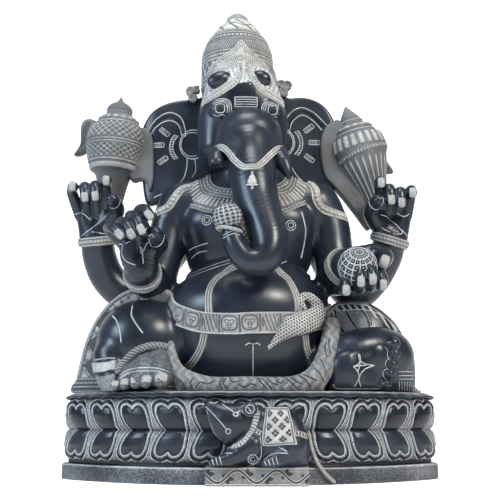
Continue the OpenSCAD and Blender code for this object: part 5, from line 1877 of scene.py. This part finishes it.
def left_conch():
    def carving(angle, along, radius, height):
        flutes = np.cos(angle * 22 + height * 0.02) * smooth_step(190, 170, height)
        band = np.abs(np.cos(angle * 26)) * ridge(height - 196 - 8 * np.sin(angle), 8)
        ribs = np.abs(np.cos(angle * 11)) * smooth_step(208, 214, height) * smooth_step(250, 240, height)
        petals = ridge(height - 271, 8) * (0.8 + 0.2 * np.cos(angle * 14))
        rings = ridge(height - 256, 3) + petals + ridge(height - 292, 3)
        work = np.clip(np.maximum(flutes, 0) + band + ribs + rings, 0, 1)
        return 3.0 * work, 0.05 + 0.62 * work

    show(turned("left_conch_stone", (346, 50, 430), (0, -15.5, 0),
                [[14, -30], [18, 0], [26, 50], [38, 100], [54, 150], [64, 180], [72, 200], [72, 222],
                 [66, 244], [54, 258], [50, 270], [38, 280], [31, 291], [27, 302], [14, 322], [0.5, 341]],
                carving, CHISELLED),
         "chiselled_granite", "left_conch")


# ---------------------------------------------------------------- mouse

MOUSE_Y = -270
MOUSE_HEAD = [[-98, -28], [-92, -20], [-80, -20], [-62, -25], [-38, -28], [-12, -26], [10, -34],
              [16, -52], [8, -86], [-20, -112], [-50, -118], [-60, -108], [-78, -88], [-90, -60],
              [-97, -40]]
MOUSE_BODY = [[4, -34], [34, -38], [60, -34], [84, -39], [107, -56], [121, -84], [128, -115], [124, -146],
              [112, -161], [10, -161], [-30, -150], [-44, -128], [-20, -100]]
SADDLE = [[34, -38], [82, -38], [99, -114], [23, -116]]


def mouse():
    clay = Clay((-110, -330, -165), (150, -225, -6), 1.9)
    clay.add(sheet(MOUSE_HEAD, lambda x, z: MOUSE_Y + 16 + 0 * x, 58, 22))
    clay.add(sheet(MOUSE_BODY, lambda x, z: MOUSE_Y + 16 + 0 * x, 60, 26), 8)
    clay.add(egg((62, MOUSE_Y, -92), (54, 32, 48)), 12)
    clay.add(egg((92, MOUSE_Y - 2, -112), (32, 30, 42)), 8)
    clay.add(egg((-44, MOUSE_Y + 2, -68), (40, 26, 34)), 12)
    clay.add(limb([[6, MOUSE_Y - 8, -116, 26], [-40, MOUSE_Y - 14, -140, 16],
                   [-78, MOUSE_Y - 12, -150, 9]], 5), 8)
    clay.add(limb([[86, MOUSE_Y - 10, -124, 28], [54, MOUSE_Y - 16, -144, 15],
                   [30, MOUSE_Y - 16, -151, 8]], 5), 8)
    clay.add(egg((0, MOUSE_Y - 20, -39), (16, 8, 15)), 3)
    clay.cut(egg((1, MOUSE_Y - 30, -40), (9, 7, 9)))
    clay.keep(Shape((-430, -900, -200), (430, 0, 0), lambda x, y, z: (y + 234) + 0 * x + 0 * z))
    clay.keep(Shape((-430, -900, -200), (430, 0, 0), lambda x, y, z: (-159 - z) + 0 * x + 0 * y))
    piece = new_piece("mouse_stone", *clay.mesh(), POLISHED)
    show(piece, "polished_granite", "mouse")
    skin = Skin(piece)
    drawn = [
        [[-95, -35], [-80, -48], [-65, -64], [-50, -81]], arc((-46, -86), (5, 5), 0, 360, 13),
        arc((-30, -50), (5, 4), 0, 360, 13),
        [[-26, -46], [-20, -42], [-14, -48]], [[-86, -24], [-76, -27], [-70, -24]],
        [[-60, -28], [-48, -36], [-36, -44]],
        arc((0, -39), (16, 15), 0, 360, 25), arc((0, -40), (9, 9), 0, 360, 19), [[-4, -36], [2, -44]],
        [[88, -38], [107, -54], [118, -82]], [[22, -96], [24, -118], [22, -140], [6, -156], [-10, -158]],
        [[60, -118], [76, -126]], arc((6, -144), (10, 10), 0, 300, 15), arc((6, -144), (5, 5), 60, 330, 9),
    ]
    drawn += [[[-88 + 8 * k, -146 + 3 * k], [-84 + 8 * k, -156 + k]] for k in range(4)]
    drawn += [[[30 + 8 * k, -147 + 3 * k], [34 + 8 * k, -156 + k]] for k in range(4)]
    drawn.append([[-88, -143], [-64, -131], [-40, -130]])
    drawn.append([[30, -143], [50, -131], [78, -130]])
    lines = [carved(skin, line, 1.5, 1.2, step=1.1) for line in drawn]
    lines.append(carved(skin, [[-93, -42], [-87, -64], [-77, -88], [-60, -106]], 1.1, 0.8, step=1.1))
    engrave(piece, lines)
    mouse_collar(skin)
    mouse_saddle(skin)
    mouse_tail()
    mouse_ledge()


def mouse_collar(skin):
    def ribs(along, over):
        work = np.abs(np.cos(along * math.pi / 6.6)) ** 0.5 * smooth_step(7.4, 6.2, np.abs(over))
        return 1.2 + 2.4 * work, 1.1 * work - 0.3

    def squares(along, over):
        rails = ridge(np.abs(over) - 5, 1.7)
        bars = np.abs(np.cos(along * math.pi / 7)) ** 3 * (np.abs(over) < 4)
        work = np.clip(rails + bars, 0, 1)
        return 1.0 + 1.8 * work, 1.1 * work - 0.2

    collar = skin.seen([[15, -44], [11, -68], [0, -92], [-20, -112], [-48, -121], [-74, -122]], step=1.3)
    pieces = [relief("mouse_collar_ribs", skin, collar, 17, ribs, CHISELLED, across=14, skirt=1)]
    for number, line in enumerate(([[10, -84], [26, -92]], [[88, -90], [104, -91], [120, -97]])):
        girth = skin.seen(line, step=1.3)
        pieces.append(relief(f"mouse_girth_{number}", skin, girth, 13, squares, CHISELLED, across=12,
                             skirt=1))
    show(joined("mouse_collar_and_girth", pieces), "chiselled_granite")


def patch(name, columns, rows, place, pattern, material):
    """A carved sheet: place(u, v) gives a point and the way out of it for shares of its width and height, and
    pattern(u, v) gives (proud, tone). Its edges are tucked in."""
    u_grid, v_grid = np.meshgrid(np.linspace(0, 1, columns), np.linspace(0, 1, rows), indexing="ij")
    proud, tone = pattern(u_grid, v_grid)
    proud = np.array(proud)
    proud[[0, -1], :] = -2
    proud[:, [0, -1]] = -2
    points = []
    for i in range(columns):
        for j in range(rows):
            at, out = place(u_grid[i, j], v_grid[i, j])
            points.append(np.array(at) + np.array(out) * proud[i, j])
    return new_piece(name, np.array(points), grid_faces(columns, rows), material, tone.ravel())


def mouse_saddle(skin):
    corners = np.array(SADDLE, float)

    def place(u, v):
        top = corners[0] * (1 - u) + corners[1] * u
        foot = corners[3] * (1 - u) + corners[2] * u
        x, z = top * (1 - v) + foot * v
        at, normal = skin.cast((x, -600, z), (0, 1, 0))
        if at is None:
            at, normal = skin.near((x, MOUSE_Y, z))
        return at, normal

    def weave(u, v):
        a, b = (u - 0.5) * 60, (v - 0.5) * 78
        edge = np.minimum(np.minimum(u, 1 - u) * 60, np.minimum(v, 1 - v) * 78)
        rails = ridge(edge - 2, 1.8) + ridge(edge - 6.5, 1.5)
        p, q = (a + b + 6) / 26, (a - b + 6) / 26
        net = np.clip(ridge(np.abs(p - np.round(p)), 0.14) + ridge(np.abs(q - np.round(q)), 0.14), 0, 1)
        p, q = (p % 1 - 0.5) * 18.4, (q % 1 - 0.5) * 18.4
        spots = ((2.9, 2.9), (-2.9, 2.9), (2.9, -2.9), (-2.9, -2.9))
        dots = sum(smooth_step(2.9, 2.1, np.hypot(p - i, q - j)) for i, j in spots)
        inner = edge > 7.5
        work = np.clip(rails + inner * (net + 0.6 * (1 - dots) * (1 - net)), 0, 1)
        # painted shade: the sunk dots are painted dark
        return 3.0 + 1.6 * work, 0.95 * work - 1.1 * inner * dots * (1 - net)

    cloth = patch("mouse_saddle_stone", int(70 / COARSE), int(90 / COARSE), place, weave, CHISELLED)
    show(cloth, "chiselled_granite", "mouse_saddle_cloth")


def mouse_tail():
    run = [(116, -84), (126, -100), (133, -124), (141, -146), (152, -164), (166, -181), (184, -196)]
    line = [[x, front_y(x) - (3 if z < -156 else 2), z] for x, z in run]
    show(rope("mouse_tail_stone", line, 6.5, 2, 1e9, CHISELLED, 20), "chiselled_granite", "mouse_tail")


def mouse_ledge():
    """The ledge that the mouse lies on, with a winding leaf scroll cut into its front."""
    box_low, box_high = (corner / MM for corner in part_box("mouse_ledge"))
    low = (box_low.x, box_low.y, box_low.z - SEAT)
    high = (box_high.x, -225, box_high.z - SEAT)
    clay = Clay((low[0] - 4, low[1] - 4, low[2] - 4), (high[0] + 4, high[1] + 4, high[2] + 4), 2.4)
    clay.add(block(low, high, 2))
    points, faces = clay.mesh()
    chiselled("mouse_ledge_stone", points, faces, 0.3, "mouse_ledge")
    wide, tall = high[0] - low[0], high[2] - low[2]

    def scroll(u, v):
        x, z = u * wide, (v - 0.5) * tall
        rails = ridge(np.abs(z) - tall / 2 + 3, 1.7)
        turn = 2 * math.pi * (x - 26) / 84
        wave = -13.5 * np.cos(turn)
        away = np.abs(z - wave) / np.sqrt(1 + np.sin(turn) ** 2)
        vine = ridge(away - 2.7, 1.5)
        half = (x - 26 + 42) % 42 - 21
        side = np.where(np.floor((x - 26 + 42) / 42).astype(int) % 2 == 0, -1, 1)
        dx, dz = half, (z + side * 4.5) * side
        lobes = 9.5 + 2.6 * np.cos(5 * np.arctan2(dz, dx) + 0.6)
        leaf = smooth_step(lobes + 0.8, lobes - 0.8, np.hypot(dx * 0.85, dz)) * (away > 4.4)
        core = smooth_step(2.2, 1.2, away)
        work = np.clip(0.42 * (1 - leaf) * (1 - core) + vine + rails, 0, 1)
        return 1.2 + 2.4 * work, 0.95 * work - 0.9 * leaf - 0.5 * core * (1 - rails)

    panel = patch("mouse_ledge_scroll", int(210 / COARSE), int(44 / COARSE),
                  lambda u, v: ((low[0] + 1 + u * (wide - 2), low[1], low[2] + 1 + v * (tall - 2)),
                                (0, -1, 0)),
                  scroll, CHISELLED)
    show(panel, "chiselled_granite")


# ---------------------------------------------------------------- camera, light and floor

def studio():
    camera = bpy.data.objects.new("camera", bpy.data.cameras.new("camera"))
    camera.location = (0, -2.150, 0.150)
    camera.rotation_euler = (math.radians(90 + 10.75), 0, 0)
    camera.data.lens = 62.2
    camera.data.sensor_width = 36
    bpy.context.scene.collection.objects.link(camera)
    bpy.context.scene.camera = camera

    for name, place, size, power, colour in (
            ("key_light", (1.7, -2.2, 2.5), 0.8, 110, (1.0, 0.96, 0.90)),
            ("fill_light", (-2.4, -1.6, 1.7), 1.0, 75, (0.62, 0.81, 1.0)),
            ("top_light", (-0.2, -1.0, 3.2), 1.1, 55, (0.94, 0.97, 1.0))):
        light = bpy.data.objects.new(name, bpy.data.lights.new(name, "AREA"))
        light.data.size = size
        light.data.energy = power
        light.data.color = colour
        light.location = place
        aim = Vector((0, 0, 0.65)) - Vector(place)
        light.rotation_euler = aim.to_track_quat("-Z", "Y").to_euler()
        bpy.context.scene.collection.objects.link(light)

    world = bpy.data.worlds.new("studio")
    world.use_nodes = True
    world.node_tree.nodes["Background"].inputs["Color"].default_value = (0.95, 0.97, 1.0, 1)
    world.node_tree.nodes["Background"].inputs["Strength"].default_value = 0.3
    bpy.context.scene.world = world
    bpy.context.scene.view_settings.view_transform = "Standard"


def plain_sheet(name, corners, colour, glow):
    mesh = bpy.data.meshes.new(name)
    mesh.from_pydata(corners, [], [(0, 1, 2, 3)])
    material = bpy.data.materials.new(name + "_paint")
    material.use_nodes = True
    shader = material.node_tree.nodes["Principled BSDF"]
    shader.inputs["Base Color"].default_value = (*colour, 1)
    shader.inputs["Roughness"].default_value = 0.8
    shader.inputs["Emission Color"].default_value = (1, 1, 1, 1)
    shader.inputs["Emission Strength"].default_value = glow
    mesh.materials.append(material)
    piece = bpy.data.objects.new(name, mesh)
    bpy.context.scene.collection.objects.link(piece)


def floor():
    plain_sheet("floor", [(-14, -14, 0), (14, -14, 0), (14, 14, 0), (-14, 14, 0)], (0.86, 0.86, 0.86), 0.46)
    plain_sheet("backdrop", [(-14, 8, -0.1), (14, 8, -0.1), (14, 8, 12), (-14, 8, 12)], (0.9, 0.9, 0.9), 0.75)


# ---------------------------------------------------------------- the whole idol

pedestal()
belly()
chest()
head()
trunk()
tusks()
ears()
arms()
right_foot(right_leg())
left_leg()
left_foot()
right_drape()
left_drape()
seat_cloth()
rear_hands()
front_hands()
sweet_ball()
crown()
right_conch()
left_conch()
conch_ties()
mouse()
studio()
floor()

bpy.context.view_layer.update()
